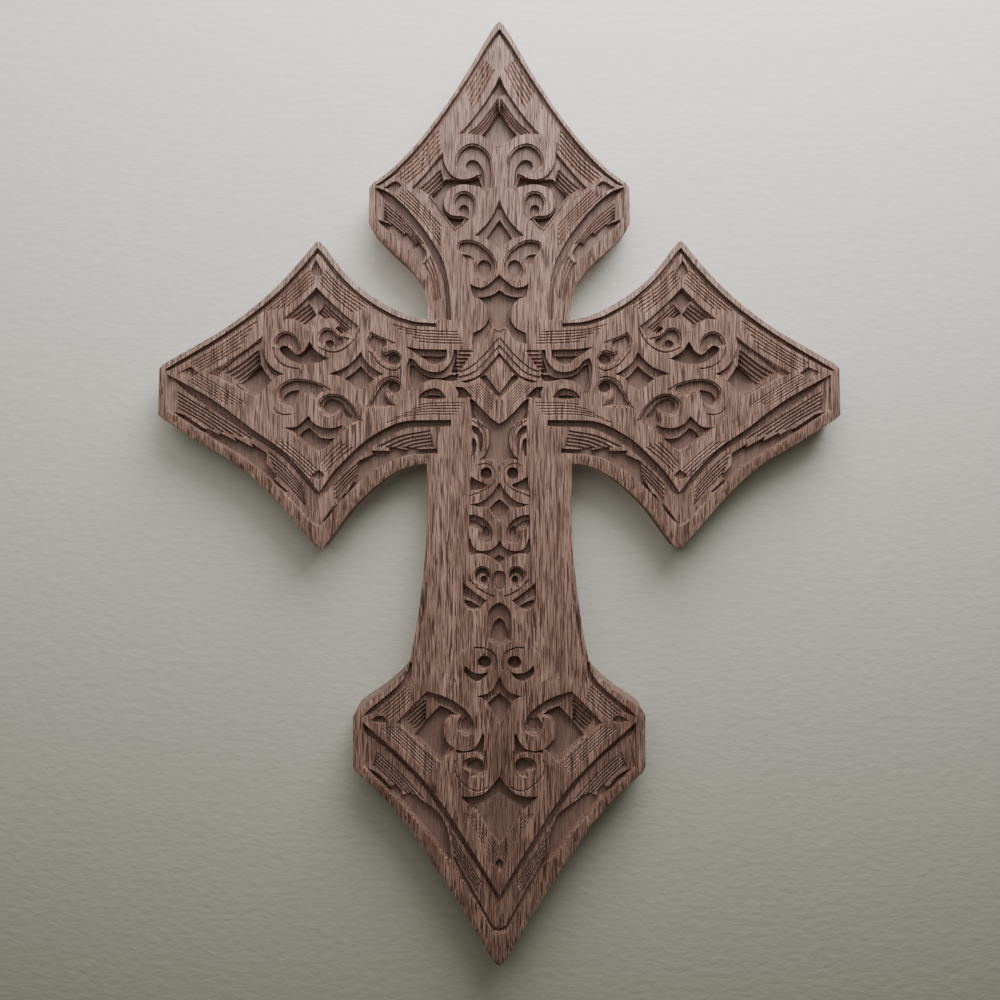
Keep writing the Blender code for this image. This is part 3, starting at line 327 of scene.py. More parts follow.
def carveHead():
    cutMiddle("wedge", [(0, 165.5, c), (4.9, 156.6, c), (3.6, 155.2), (0, 156.2)])  # tip wedge
    # top hole
    cutMiddle("firstBand", [(0, 149.5, c), (4.2, 141), (9.7, 133), (15, 126.2), (19.9, 121.2, c), (15, 121.5),
        (10, 120.7), (6.5, 118.8), (4.8, 116.8, c), (0, 114.6)])
    # top stair
    steps("pocket", 4, [(0.4, 140), (9, 128), (16.4, 121.6)], [(0.2, 133.2), (4.6, 126.5), (9, 121.6)])
    cutMiddle("crescent", [(0, 148.3, c), (1.8, 145), (4, 141.8, c), (2, 140.8), (0, 140.4, c)])
    # top floor
    cutMiddle("floor", [(0, 133.8, c), (4.5, 126.3), (8.8, 121.2, c), (6.3, 119.2), (4.2, 117.6, c),
        (0, 116.2)], "lip")
    cut("wedge", [(55.8, 95.4, c), (50.3, 98.6), (47.2, 96.6, c), (50, 92.6, c)])
    # left hole
    cut("firstBand", [(42.3, 95.4, c), (35.5, 102.6), (27.3, 112.8, c), (26.8, 108.5), (24.8, 103.7),
        (21.3, 100.4), (17, 99.5), (13, 100.3), (9.5, 102.2), (7.3, 99, c), (7, 94.8, c), (12, 96.3),
        (17, 96.9), (21.5, 96), (25.3, 93.3), (26.8, 89), (26, 85), (23.5, 82.4), (20, 81.8), (16.8, 82, c),
        (14.3, 80.3, c), (17.5, 77), (22, 72.2, c), (24.5, 75.8), (27.5, 79.8), (33, 85.8), (38, 91.2)])
    # upper scroll
    cut("pocket", [(20.7, 107.6), (19.2, 112.4), (15.5, 115.5), (11.5, 115.8), (7.5, 113.6), (4.9, 109.8),
        (4, 105), (3.9, 100), (4.1, 95.6, c), (7.3, 94.8, c), (8.2, 98.5), (9.6, 100.9), (9.4, 102.7, c),
        (13, 103.1), (16.5, 103.4), (19.3, 105)], "ledge")
    # upper eye
    cut("eye", [(16.4, 106.6), (15.3, 108.9), (12.8, 109.8), (10.2, 108.6), (8, 105.3), (7.2, 101.3),
        (7.1, 96, c), (8.4, 97.6), (9.8, 100.8), (9.4, 102.8, c), (12.5, 103.3), (15, 104.3)])
    # left stair
    steps("pocket", 4, [(39, 95.4), (33, 100.6), (28.3, 105.5)], [(33.2, 91.6), (29.6, 95.3), (26.8, 98.2)])
    # left floor
    cut("floor", [(33, 91.6, c), (29.8, 95.4), (26.3, 99.7, c), (23.5, 100), (20, 99.5), (15, 99.5),
        (10, 101, c), (8, 95.6, c), (12.5, 96.4), (17.5, 97.1), (22.3, 96), (25.5, 93.6), (27.2, 89.3),
        (26.5, 84.9), (24.5, 81.9), (20, 80.8), (16.3, 81.2, c), (18.5, 78.3), (21.4, 76.2, c), (24, 79.3),
        (27, 83.3), (29.8, 87.3)], "lip")
    # lower scroll
    cut("pocket", [(21.8, 88.2), (20.3, 91.6), (17.5, 93), (14.5, 92.2), (12.3, 89.5), (11.9, 86),
        (12.7, 82.8), (14.5, 80.2, c), (16.7, 81.8, c), (16.9, 83), (18.8, 83.2), (20.8, 85)], "ledge")
    # lower eye
    cut("eye", [(19.6, 85.5), (18.9, 87.2), (17.3, 87.9), (15.6, 87.2), (14.8, 85.3), (15, 82.8),
        (16.8, 82.4), (18.6, 83.4)])
    # diamond
    cutMiddle("pocket", [(0, 89.5, c), (2, 85), (4, 81), (7, 77), (12, 72.3, c), (9, 71.5), (6.5, 70.5),
        (3.5, 68), (0, 66, c)])
    # diamond floor
    cutMiddle("floor", [(0, 80.6, c), (2.8, 76.6), (6.3, 71.4, c), (3.3, 68.8), (0, 66.8, c)], "lip")


def carveNeck():
    # crescent
    cut("pocket", [(19.7, 66.3), (19, 68.6), (15, 69.5), (10.5, 68.2), (6, 65), (2.9, 60.7), (2, 56.3),
        (3.6, 52.5), (7.3, 50.6), (10.8, 52), (12, 54.8), (11.1, 58.5), (12.5, 61.4), (15.5, 63.8),
        (18.8, 64.6)], "ledge")
    cut("eye", [(10.6, 57), (10, 59.8), (7.5, 61.1), (4.8, 59.8), (3.8, 57), (5, 54), (7.4, 52.9),
        (9.8, 54.2)])
    # leaf
    cut("wedge", [(18, 63.2, c), (14, 62.8), (10.8, 60.8, c), (12, 59.2), (14.7, 58.4), (16.6, 60.8)])
    # hole
    cutMiddle("pocket", [(0, 53.5, c), (3, 50.6), (6.5, 47.9), (9, 47.2), (12.2, 47.9), (14.2, 49.2, c),
        (13.6, 45.5), (12.6, 42.6, c), (8.3, 40.6), (6, 37.2), (5.2, 33.5), (6.2, 30), (8.5, 27.4),
        (12.8, 25.2, c), (13.2, 19.8, c), (9, 20.8), (6, 23.4), (4, 27.5), (2.4, 25.5), (0, 22, c)])
    cutMiddle("floor", [(0, 46.4, c), (3.5, 44), (8, 42.9), (11, 43, c), (7.6, 40), (5, 36.8), (4.2, 33.5),
        (3.6, 29), (0, 27, c)], "lip")


def carveLeftArm():
    cut("wedge", [(155.6, 5.8, c), (149.2, 8.9, c), (145, 5.7, c), (149.6, 3, c)])  # left wedge
    # top wedge
    cut("wedge", [(88.6, 60.6, c), (91.4, 54.8), (90, 52.8), (88.2, 52.5), (86.6, 52.8), (85.2, 54.6)])
    # left hole
    cut("firstBand", [(141, 5.6, c), (131, 11.8), (122, 17.5), (114.2, 23.9, c), (114.8, 19.5), (113.6, 14.5),
        (111.2, 10.3), (108, 7.2), (104, 5.4, c), (107, 4.3), (109.8, 2.2, c), (112.5, -0.6), (115, -3.4),
        (117.8, -5.2), (121, -4.6), (125, -2.6), (131, 0.6), (136, 3.4)])
    # left stair
    steps("pocket", 4, [(133.3, 5.8), (125, 11), (116.2, 18)], [(125.6, 0.6), (121, 4.6), (115.5, 9.4)])
    # left floor
    cut("floor", [(126.6, 0.9, c), (121, 4.8), (115.2, 9.6, c), (113.6, 6.8), (110.4, 2.2, c), (113, -0.4),
        (115.8, -3.4), (118.2, -4.2), (121.5, -3.2), (124.5, -1.2)], "lip")
    # left slit
    cut("pocket", [(114, 16.5, c), (113.2, 12.5), (111, 9), (108, 6.7), (104.4, 5.4, c), (107.6, 5),
        (109.4, 4.6), (111.6, 7.2), (113.4, 10.6), (114.6, 13.5)])
    # upper hole
    spiralBack = [(92, 25.4, c), (90.6, 27.8), (88.4, 30.4), (85.5, 32.2), (81.5, 32.6), (78.6, 31),
        (77.2, 28.4, c), (79, 26.6)]
    cut("firstBand", [(88.3, 47.4, c), (92.8, 42.6), (98, 37.4), (105, 31.8, c), (100, 31.7), (96.4, 30),
        (94.2, 28), *spiralBack, (76.5, 26.2), (73.4, 24.5), (71, 23, c), (67.8, 28.6, c), (73, 32.6),
        (79.6, 38.5), (84.4, 43.3)])
    # upper stair left
    steps("pocket", 4, [(101.5, 32.8), (97, 36), (92.2, 39.6)], [(95, 28.6), (91.5, 31.6), (88.6, 34.2)])
    # upper stair right
    steps("pocket", 4, [(71.6, 27.6), (78.5, 33.8), (84.6, 39.6)], [(76.6, 24.6), (82, 29.6), (88.2, 34.8)])
    # dark corner of the upper hole, and the spiral's body raised again
    cut("crescent", [(88.3, 46.4, c), (93.4, 41.2, c), (88.2, 36.6, c), (83.2, 41, c)])
    cut("face", [*spiralBack, (80, 22), (86, 20)])
    # upper left scroll
    cut("pocket", [(108.4, 20.4), (106.6, 23.6), (103.3, 25.2), (99.8, 23.8), (97.4, 20.6), (96.6, 17.2),
        (98, 15.4), (99.8, 16.6), (100.6, 18.6), (102.8, 19.6), (105.4, 18.8), (107.6, 19)], "ledge")
    # upper left swirl
    cut("eye", [(106.6, 17.3), (105, 19), (102.6, 18.9), (100.6, 17), (98.2, 14.9), (96, 15.4), (94, 17.2),
        (91.6, 21.4, c), (90, 18.4), (87, 15.4), (82.2, 12.8, c), (87, 11.2), (92, 10.2), (97, 10.3),
        (101, 11.8), (104.8, 14.4)])
    # spiral
    cut("pocket", [(87.3, 21.4), (86.8, 24.6), (84.4, 26.9), (81.2, 26.2), (78.8, 23.8), (76.6, 22.8),
        (73.2, 22.3, c), (76.4, 19.6), (79.2, 18.2), (79.8, 20.6), (81.8, 21.9), (84.4, 21.2), (86.2, 19.2)],
        "ledge")
    # spiral eye
    cut("crescent", [(84.4, 20.2), (83.2, 21.8), (81.2, 21.9), (79.9, 20.4), (80.4, 18.6), (82.2, 17.8),
        (84, 18.6)])
    # diamond
    cut("pocket", [(66.9, 16.3, c), (70, 12.4), (75, 8.4), (82.6, 5.4, c), (78.8, 4.5), (75.4, 2.8),
        (72, 0.3), (69.6, -1.8), (67, -2.7, c), (64.6, -1.2), (62.6, 0.6), (60.6, 2.9), (58.4, 4.4),
        (55.8, 5.3, c), (60, 7.6), (64.4, 11.4)])
    # diamond floor
    cut("floor", [(67.2, 9.6, c), (70.6, 6.4), (75.3, 3.2, c), (72, 0.4), (69.5, -1.5), (67, -2.2, c),
        (64.6, -0.6), (62.6, 1), (60.8, 3, c), (64, 5.6)], "lip")
    # comma upper
    cut("pocket", [(61.6, 24.6, c), (57, 22.4), (51, 20.5, c), (55.8, 18.6), (57, 16.4), (55, 14.9),
        (52.8, 15.9), (50.2, 15.9), (48.2, 14), (47.8, 12), (49.6, 10), (52.4, 9.8), (55.2, 10.9),
        (57.6, 12.8), (61, 16.8), (63.4, 21)], "ledge")
    # comma upper eye
    cut("eye", [(54, 12.6), (52.8, 14.6), (50.2, 15.2), (48.5, 13.2), (49, 11), (51.4, 10.2), (53.5, 11)])
    # comma lower
    cut("pocket", [(63.2, -10.2, c), (60.8, -6), (58.4, -1.6), (55.4, 1.4), (51.8, 2.4), (48.8, 1),
        (47.8, -1.2), (49.2, -3.8), (51.6, -4), (54.6, -2.2), (55.2, -5), (53.6, -7.6), (51, -9.8, c),
        (57, -10.2)], "ledge")
    # comma lower eye
    cut("eye", [(54, -0.4), (52.6, 1.4), (50.2, 1.6), (48.5, -0.2), (49, -2.6), (51.3, -3.4), (53.4, -2.2)])
    # crescent
    cut("pocket", [(106.4, -2.2), (103.2, 0.9), (99, 2.2), (94, 2), (88, 0.6), (81.8, -2.3, c), (86.4, -3.6),
        (89.4, -5.8, c), (92.4, -3.6), (96, -3.4), (99.4, -8.4), (103, -10.2), (106.2, -7)], "ledge")
    # crescent eye
    cut("eye", [(105.2, -7.2), (104, -4.6), (101.4, -2.9), (97.4, -2.4), (98.4, -5.6), (100.4, -9.2),
        (103.2, -9.6)])
    # lower scroll
    cut("pocket", [(87, -9.6), (85.6, -6.8), (81.6, -5), (77, -5.6), (73.4, -8), (70.4, -11.6),
        (67.4, -16.8, c), (71.6, -18.6), (75.4, -20.4), (77.6, -17.4), (76.6, -13), (77.4, -11.4),
        (79.4, -13.4), (82.6, -14.4), (85.4, -13)], "ledge")
    # lower eye
    cut("eye", [(85.6, -10), (83.6, -7), (80.6, -6.6), (76.4, -8.6), (74, -12), (71, -15.6), (74.4, -15.4),
        (76.6, -11.2), (78.8, -12.6), (82.4, -13.7), (84.8, -12.4)])
    # bottom hole
    cut("pocket", [(104.2, -20.4, c), (98.6, -20.2), (95.2, -17.8), (92.2, -14.8, c), (90.6, -17.4),
        (87.6, -19.6), (83.4, -20.7), (79, -20.4), (75.6, -18.6, c), (74.4, -21.2, c), (78.6, -25),
        (83, -29.6), (87, -32.4, c), (92, -30), (97, -26.4)])
    # bottom floor
    cut("floor", [(92.2, -20.4, c), (95.6, -22.6), (97.2, -25, c), (92, -29), (87.2, -31.6), (83, -29),
        (79, -25.2, c), (82.4, -25.9), (86.8, -25.2), (89.8, -23)], "lip")
    # lines beside the scrolls
    line([(88, 18.5), (84, 16.5), (80, 15.8), (75, 17.5), (70, 22), (67.3, 28)])
    line([(109.6, 19), (108, 13), (104, 9.5), (99, 8), (96, 7.8)])
    line([(96, 7.8), (96, 5.4), (96, 3)])
    line([(109, -10), (108, -13), (104, -14.4), (100, -14)])
    line([(63.5, 17), (61, 13.5), (58, 10), (54, 7.6), (50, 7), (47.5, 9)])
    line([(60, -2), (57, 2), (52, 4), (48, 3)])
    # low wedge
    cut("wedge", [(91, -43.8), (87.2, -40.8, c), (84.6, -43.4), (87, -46.2, c), (89.4, -45.4)])


def carveBands():
    # head band, from the head's side down to the crossing
    headUpper = [(60.2, 95.8, c), (55, 94), (50, 90.5), (45, 85.8), (40, 80), (35, 73.6), (30, 65.6),
        (27, 59.5), (25.3, 53), (24.2, 46), (23.6, 38), (23.3, 31.4, c)]
    headLower = [(37.2, 60, c), (41, 62.6), (46, 67.5), (52, 73), (57.5, 78), (60.2, 81, c)]
    cut("band", headUpper + [(31.2, 31.4, c), (32, 40), (33.8, 50)] + headLower)
    cut("bandGroove", headUpper + [(25.6, 31.4, c), (26, 40), (27.2, 50.6), (30.2, 58), (34, 65.6), (38, 72),
        (43, 77.4), (48.6, 82.6), (53.6, 87.6)])
    steps("band", 5, [(56, 88.8), (46, 80), (36.2, 68.6)], [(56, 80.4), (49, 75), (39.4, 68)])
    cut("bandFloor", headLower + [(53, 78.4, c), (51.8, 79.4, c), (46.6, 73.4, c), (45.2, 74.8, c),
        (40.6, 68.8, c), (39.4, 70.2, c), (35.4, 64.6)])
    steps("band", 3, [(33.4, 63), (30.2, 54), (28.2, 42)], [(37.2, 58.6), (33.4, 51), (31.2, 40)])
    # arm band, outside and inside its lower point
    outerUpper = [(160.4, 5.3, c), (150, -0.3), (140, -6), (130, -13), (120, -20.8), (113.5, -25.2),
        (105, -31.6), (95, -41.6), (87, -51.8, c)]
    outerLower = [(86.9, -68.4, c), (91, -66.4), (97, -60.2), (105, -51.6), (112, -44.8), (120, -38.2),
        (130, -31.6), (140, -25.6), (150, -19), (156, -15), (160.4, -12.2, c)]
    innerUpper = [(87, -51.8, c), (84.6, -48), (80, -41.6), (75, -36.4), (70, -31.4), (65, -27), (60, -23.6),
        (55, -20.8), (50, -18.6), (45, -17.3), (40, -17), (23.2, -16.8, c)]
    innerLower = [(29.8, -33.2, c), (38, -33.6), (45, -34.4), (52, -36.6), (60, -41), (67, -46.4), (73, -52),
        (78, -57.8), (82.4, -63.6), (86.9, -68.4, c)]
    cut("band", outerUpper[:-1] + innerUpper + [(23.2, -20, c), (29.8, -20.4, c)] + innerLower[:-1]
        + outerLower)
    cut("bandGroove", outerUpper + [(87, -54.6, c), (90, -51.6), (95, -46), (100, -40.2), (105, -35.2),
        (110, -31.2), (120, -25), (130, -18.2), (140, -11.6), (150, -4.6)])
    cut("bandGroove", innerUpper + [(23.2, -20, c), (40, -20.3), (45, -21), (50, -22.8), (55, -25.5),
        (60, -28.8), (65, -32.5), (70, -36.5), (75, -41.5), (80, -46.6), (84, -52.4), (86.8, -56, c)])
    steps("band", 5, [(156.8, -2.4), (137, -14.6), (117.5, -27)], [(156.6, -12), (149, -16), (141, -21.6)])
    steps("band", 5, [(113, -31), (104, -38.8), (94.5, -50)], [(108.8, -43.6), (102.8, -50), (94, -59)])
    cut("bandFloor", outerLower + [(153, -14.2, c), (143.6, -20.6, c), (144.6, -19, c), (136, -24, c),
        (136.8, -22.2, c), (128, -27, c), (129, -24.8, c), (119.6, -30, c), (121, -27.6, c), (112.6, -33, c),
        (112.8, -38, c), (107.6, -44.6, c), (109.4, -45.4, c), (102.4, -51.6, c), (104.2, -52.2, c),
        (95.6, -59.6, c), (98, -60.4), (90.5, -66.4), (87, -67.6, c)])
    steps("band", 4, [(80.4, -48.4), (74, -42), (66, -34.6)], [(80, -57), (75.8, -51.4), (69.6, -44.6)])
    steps("band", 5, [(61, -30.4), (48, -24.4), (33.4, -21.6)], [(41.4, -31.2), (37, -30.6), (31.6, -30.2)])
    cut("bandFloor", innerLower + [(86.6, -66.6, c), (79.2, -56.4, c), (78.8, -58.4, c), (74, -50, c),
        (73.8, -52, c), (69.4, -43.4, c), (68.8, -36.8, c), (61.6, -33.6, c), (62, -31.6, c),
        (53.4, -31.8, c), (54, -29.6, c), (45.2, -31.2, c), (45.8, -29.6, c), (38, -31, c), (29.8, -30.6, c)])
    # foot band
    footUpper = [(0, -246.8, c), (5, -238), (10, -229.8), (15, -221.8), (20, -213.8), (25, -206), (30, -199),
        (35, -192.5), (40, -187), (45, -182), (50, -177), (60, -168.3), (66.2, -162.6, c)]
    footLower = [(66, -184.4, c), (60, -190.8), (55, -195.4), (49.6, -200.4, c)]
    footTip = [(44, -200.6), (36, -204.4), (30, -208.6), (25.6, -213.6), (23.4, -220), (22.6, -229.4, c),
        (18.4, -238.6), (13, -247.6), (9, -254.6), (5.6, -260.6), (3.4, -264.4, c), (0, -264.9, c)]
    cutMiddle("band", footUpper + footLower + footTip)
    cutMiddle("bandGroove", footUpper + [(64.6, -169), (60, -172.4), (55, -176.6), (50, -181.2), (45, -186),
        (40, -191.2), (35, -197.4), (30, -204.6), (25, -212), (20, -219.8), (15, -227.4), (10, -235),
        (5, -243), (0, -251.2, c)])
    steps("band", 5, [(59.6, -177.4), (47, -188.8), (35.4, -201.6)], [(61.6, -185), (55.6, -190.6),
        (48.4, -198)])
    steps("band", 4, [(24.4, -215), (17, -227.4), (8.2, -241.6)], [(22, -227.6), (17.2, -236.6),
        (10.6, -247.4)])
    cut("bandFloor", footLower + [(46, -199.6, c), (50.6, -194.4, c), (53, -194.6, c), (58, -189)])
    cut("valley", [(50.4, -199.2, c), (43, -198.2), (36, -202.2), (30, -206.8), (26, -212.4), (24, -219),
        (22.8, -231, c), (26.8, -228), (33, -219.8), (40, -211.4), (46.6, -203.8)], mode="deepen")
    cutMiddle("bandGroove", [(0, -263.4, c), (3.6, -261.4), (7.6, -254), (11.8, -246.4), (17, -237),
        (21.4, -228.4, c), (22.8, -229.6, c), (18.6, -238.8), (13.2, -247.8), (9, -254.9), (5.6, -260.9),
        (3, -265.2, c), (0, -265.6, c)])


def carveGrooves():
    # along the upper edge of the head
    cutMiddle("groove", [(0, 172.2, c), (5, 165.6), (12, 154), (20, 141.6), (30, 127.2), (40, 114.7),
        (50, 104.3), (56, 99.4), (60.6, 96.4, c), (57.5, 96.6), (53, 99.6), (47, 104.6), (38, 113.4),
        (28, 125.6), (18, 140), (10, 152.6), (4, 162.6), (0, 169.4, c)])
    # along the upper edge of the arm
    cut("groove", [(87.9, 66.6, c), (85, 63.5), (80, 57), (75, 51.3), (70, 46.4), (65, 42.3), (60, 38.8),
        (55, 36), (50, 33.4), (45, 31.8), (40, 30.6), (30.5, 29.9, c), (30.5, 28, c), (40, 28.4), (45, 29.4),
        (50, 31.2), (55, 33.6), (60, 36.6), (65, 40), (70, 43.8), (75, 48), (80, 53.4), (84.4, 59.4),
        (87.9, 63.4, c), (92.5, 56.4), (100, 48), (110, 38.8), (120, 31), (130, 24), (140, 17.8), (150, 12.2),
        (155, 9.4), (161.6, 6.4, c), (161.6, 7.6, c), (155, 11.6), (145, 17.4), (135, 23.6), (125, 30.4),
        (115, 38), (105, 46.8), (95, 57.6), (90, 63.6)])
    # along the shoulder of the foot
    cut("groove", [(43.4, -133.6, c), (44.4, -138.4), (47.2, -143), (52, -147.8), (58, -152.8), (63, -156.8),
        (66.4, -160.6, c), (62, -159.4), (56.4, -155.2), (50.6, -150.4), (45.4, -145.4), (42.6, -140.4),
        (42.2, -134.6, c)])


def carveFaceReeds():
    # head: over the top hole, then above and below the side hole
    reeds(5, [(7.4, 158.4), (12.2, 150), (17.4, 141.6)], [(1.8, 152.6), (5.8, 144.4), (12.4, 132.2)])
    reeds(5, [(52, 101.2), (40, 111.6), (29.2, 124.2)], [(44.6, 96.4), (36, 104), (27.9, 113.6)])
    reeds(5, [(51, 91.6), (38, 79.4), (28.4, 65.8)], [(44.4, 94.8), (36.5, 86.6), (27.4, 77)])
    # arm: above and below the outer hole
    reeds(5, [(150.4, 10.4), (137, 18.2), (116, 32.4)], [(144.2, 6.2), (136, 10.9), (125.4, 17)])
    reeds(5, [(151.2, 2), (141, -4.2), (131, -10.2)], [(144.6, 5.4), (134, -0.8), (120.8, -9.4)])
    # arm: left and right of the upper hole
    reeds(5, [(91.4, 56.2), (103, 45.6), (116.6, 34.6)], [(88.8, 49), (95.4, 43.2), (103, 36.6)])
    reeds(5, [(84.4, 56.4), (76, 47.6), (61.8, 38.4)], [(87.6, 49.2), (80.6, 42.2), (70.6, 33.8)])
    # arm: beside the shaft, above and below
    reeds(5, [(54, 30.4), (42, 27.4), (20, 26.2)], [(38, 20.2), (30, 19.6), (16.6, 19.4)])
    reeds(5, [(57, -19.4), (42, -15.3), (21.4, -14.8)], [(37, -8.7), (30, -8.1), (16, -8.1)])
    # arm: left and right of the lower point
    reeds(4, [(113.4, -26.4), (101, -36), (90.8, -46)], [(102.5, -27.4), (95.5, -33.4), (87.4, -40.6)])
    reeds(4, [(84.6, -43.6), (77.6, -36.8), (69.4, -30)], [(87.3, -37.8), (82, -31.6), (77.4, -27)])
    # foot: above and below the hole
    reeds(5, [(59.6, -158.4), (52, -152), (43.6, -144.6)], [(53.2, -162.6), (48, -158.2), (41, -151.6)])
    reeds(5, [(58, -165.8), (48, -174.6), (34, -188.6)], [(49.8, -164.4), (42, -171.6), (30, -183)])


def carveCentre():
    # upper pocket
    cut("pocket", [(45.5, 18.7, c), (38, 17.5), (30, 17.3), (25.2, 17.1, c), (25.4, 13.4), (27.6, 10.9),
        (31, 9.6), (34, 10), (36.4, 12.2), (39.8, 14.6), (42.5, 16.6)])
    # upper floor
    cut("eye", [(40.6, 14.6, c), (34, 14.3), (28.6, 14.1), (26.2, 14.8, c), (28.2, 11.8), (31, 10.4),
        (34, 10.8), (36.5, 12.8)], "lip")
    # gap
    cut("pocket", [(43.6, 13.2, c), (41, 12), (38.4, 9), (35, 7), (31, 6.3), (27.4, 7.2), (24.6, 9.8),
        (22.8, 13), (22.2, 17.1, c), (20.2, 17.1, c), (20.6, 12), (20.8, 8), (20, 6.2), (19.8, 3.4),
        (21.4, 1.4, c), (25.2, 1.2), (28, 2.2), (32, 2.4), (36, 1.2), (39.4, -1.6), (41.6, -5, c), (44, -2),
        (44.8, 4), (45, 9)])
    # gap floor
    cut("floor", [(43.4, 10, c), (41, 9.4), (37.8, 6), (34, 4.2), (30, 3.6), (26.4, 3.9), (24.2, 5.1),
        (20.4, 5.2, c), (20.4, 3.4), (22.2, 1.8, c), (26, 2.2), (30, 2.8), (34, 2.5), (37, 1.2), (39.8, -1),
        (41.4, -3.4, c), (43, 0), (43.8, 5)], "lip")
    # arch pocket
    cut("pocket", [(39.4, -6.2, c), (36.4, -2.9), (32, -1.5), (28.8, -2.2), (25.6, -6, c), (28.4, -6.9),
        (33, -7)])
    # arch floor
    cut("eye", [(37.4, -5.7, c), (33, -4.7), (27.6, -5.2, c), (30, -6.4), (34.4, -6.5)])
    # notch beside the star
    cut("crescent", [(22, -0.8, c), (17.4, -1.2), (13, -5.6, c), (16, -6.2), (20.4, -6.4, c), (20, -3.4)])
    # stair
    steps("star", 6, [(19.8, 17), (16, 17), (11.6, 17)], [(23.6, 6), (21.6, 6), (19.4, 6)])


def carveStar():
    # upper rib
    cutMiddle("ring", [(0, 23.8, c), (4, 18.9), (9, 13.4), (14.6, 8.8), (20.8, 6.2, c), (20.8, 5.2),
        (14.6, 7.7), (9, 12.2), (4, 17.6), (0, 22.2, c)])
    # lower rib
    cutMiddle("ring", [(0, 19.6, c), (3, 16.3), (8.4, 10.2), (13.4, 6.1), (20.6, 4, c), (20.4, 3),
        (13.4, 4.9), (8.4, 8.8), (3, 14.9), (0, 18.2, c)])
    # groove under the ribs
    cutMiddle("wedge", [(0, 15.8, c), (2.4, 12.9), (7.4, 7.2), (11.6, 3.8), (18.6, 1.8, c), (15.4, 1),
        (9.6, 3.6), (6.4, 5.6), (2.4, 10.3), (0, 13.4, c)])
    # low groove
    cutMiddle("pocket", [(0, -3.8, c), (6.8, 5, c), (10.2, 4.2, c), (5, -1.2), (0, -6.6, c)])
    # foot groove
    cutMiddle("crescent", [(0, -18.6, c), (2.4, -17.2), (6.6, -13.4), (12, -7.6), (14.3, -6.6, c),
        (13.8, -12), (13.5, -16, c), (9.6, -17.2), (6.8, -19.6), (5, -22.2, c), (0, -23, c)])
    reeds(6, [(16.2, -0.6), (9.4, -7.2), (2.8, -13.4)], [(9.6, 1), (6.2, -2.2), (2.8, -5.6)])
    line([(1.3, -6.6), (1.3, -12), (1.3, -16.8)])


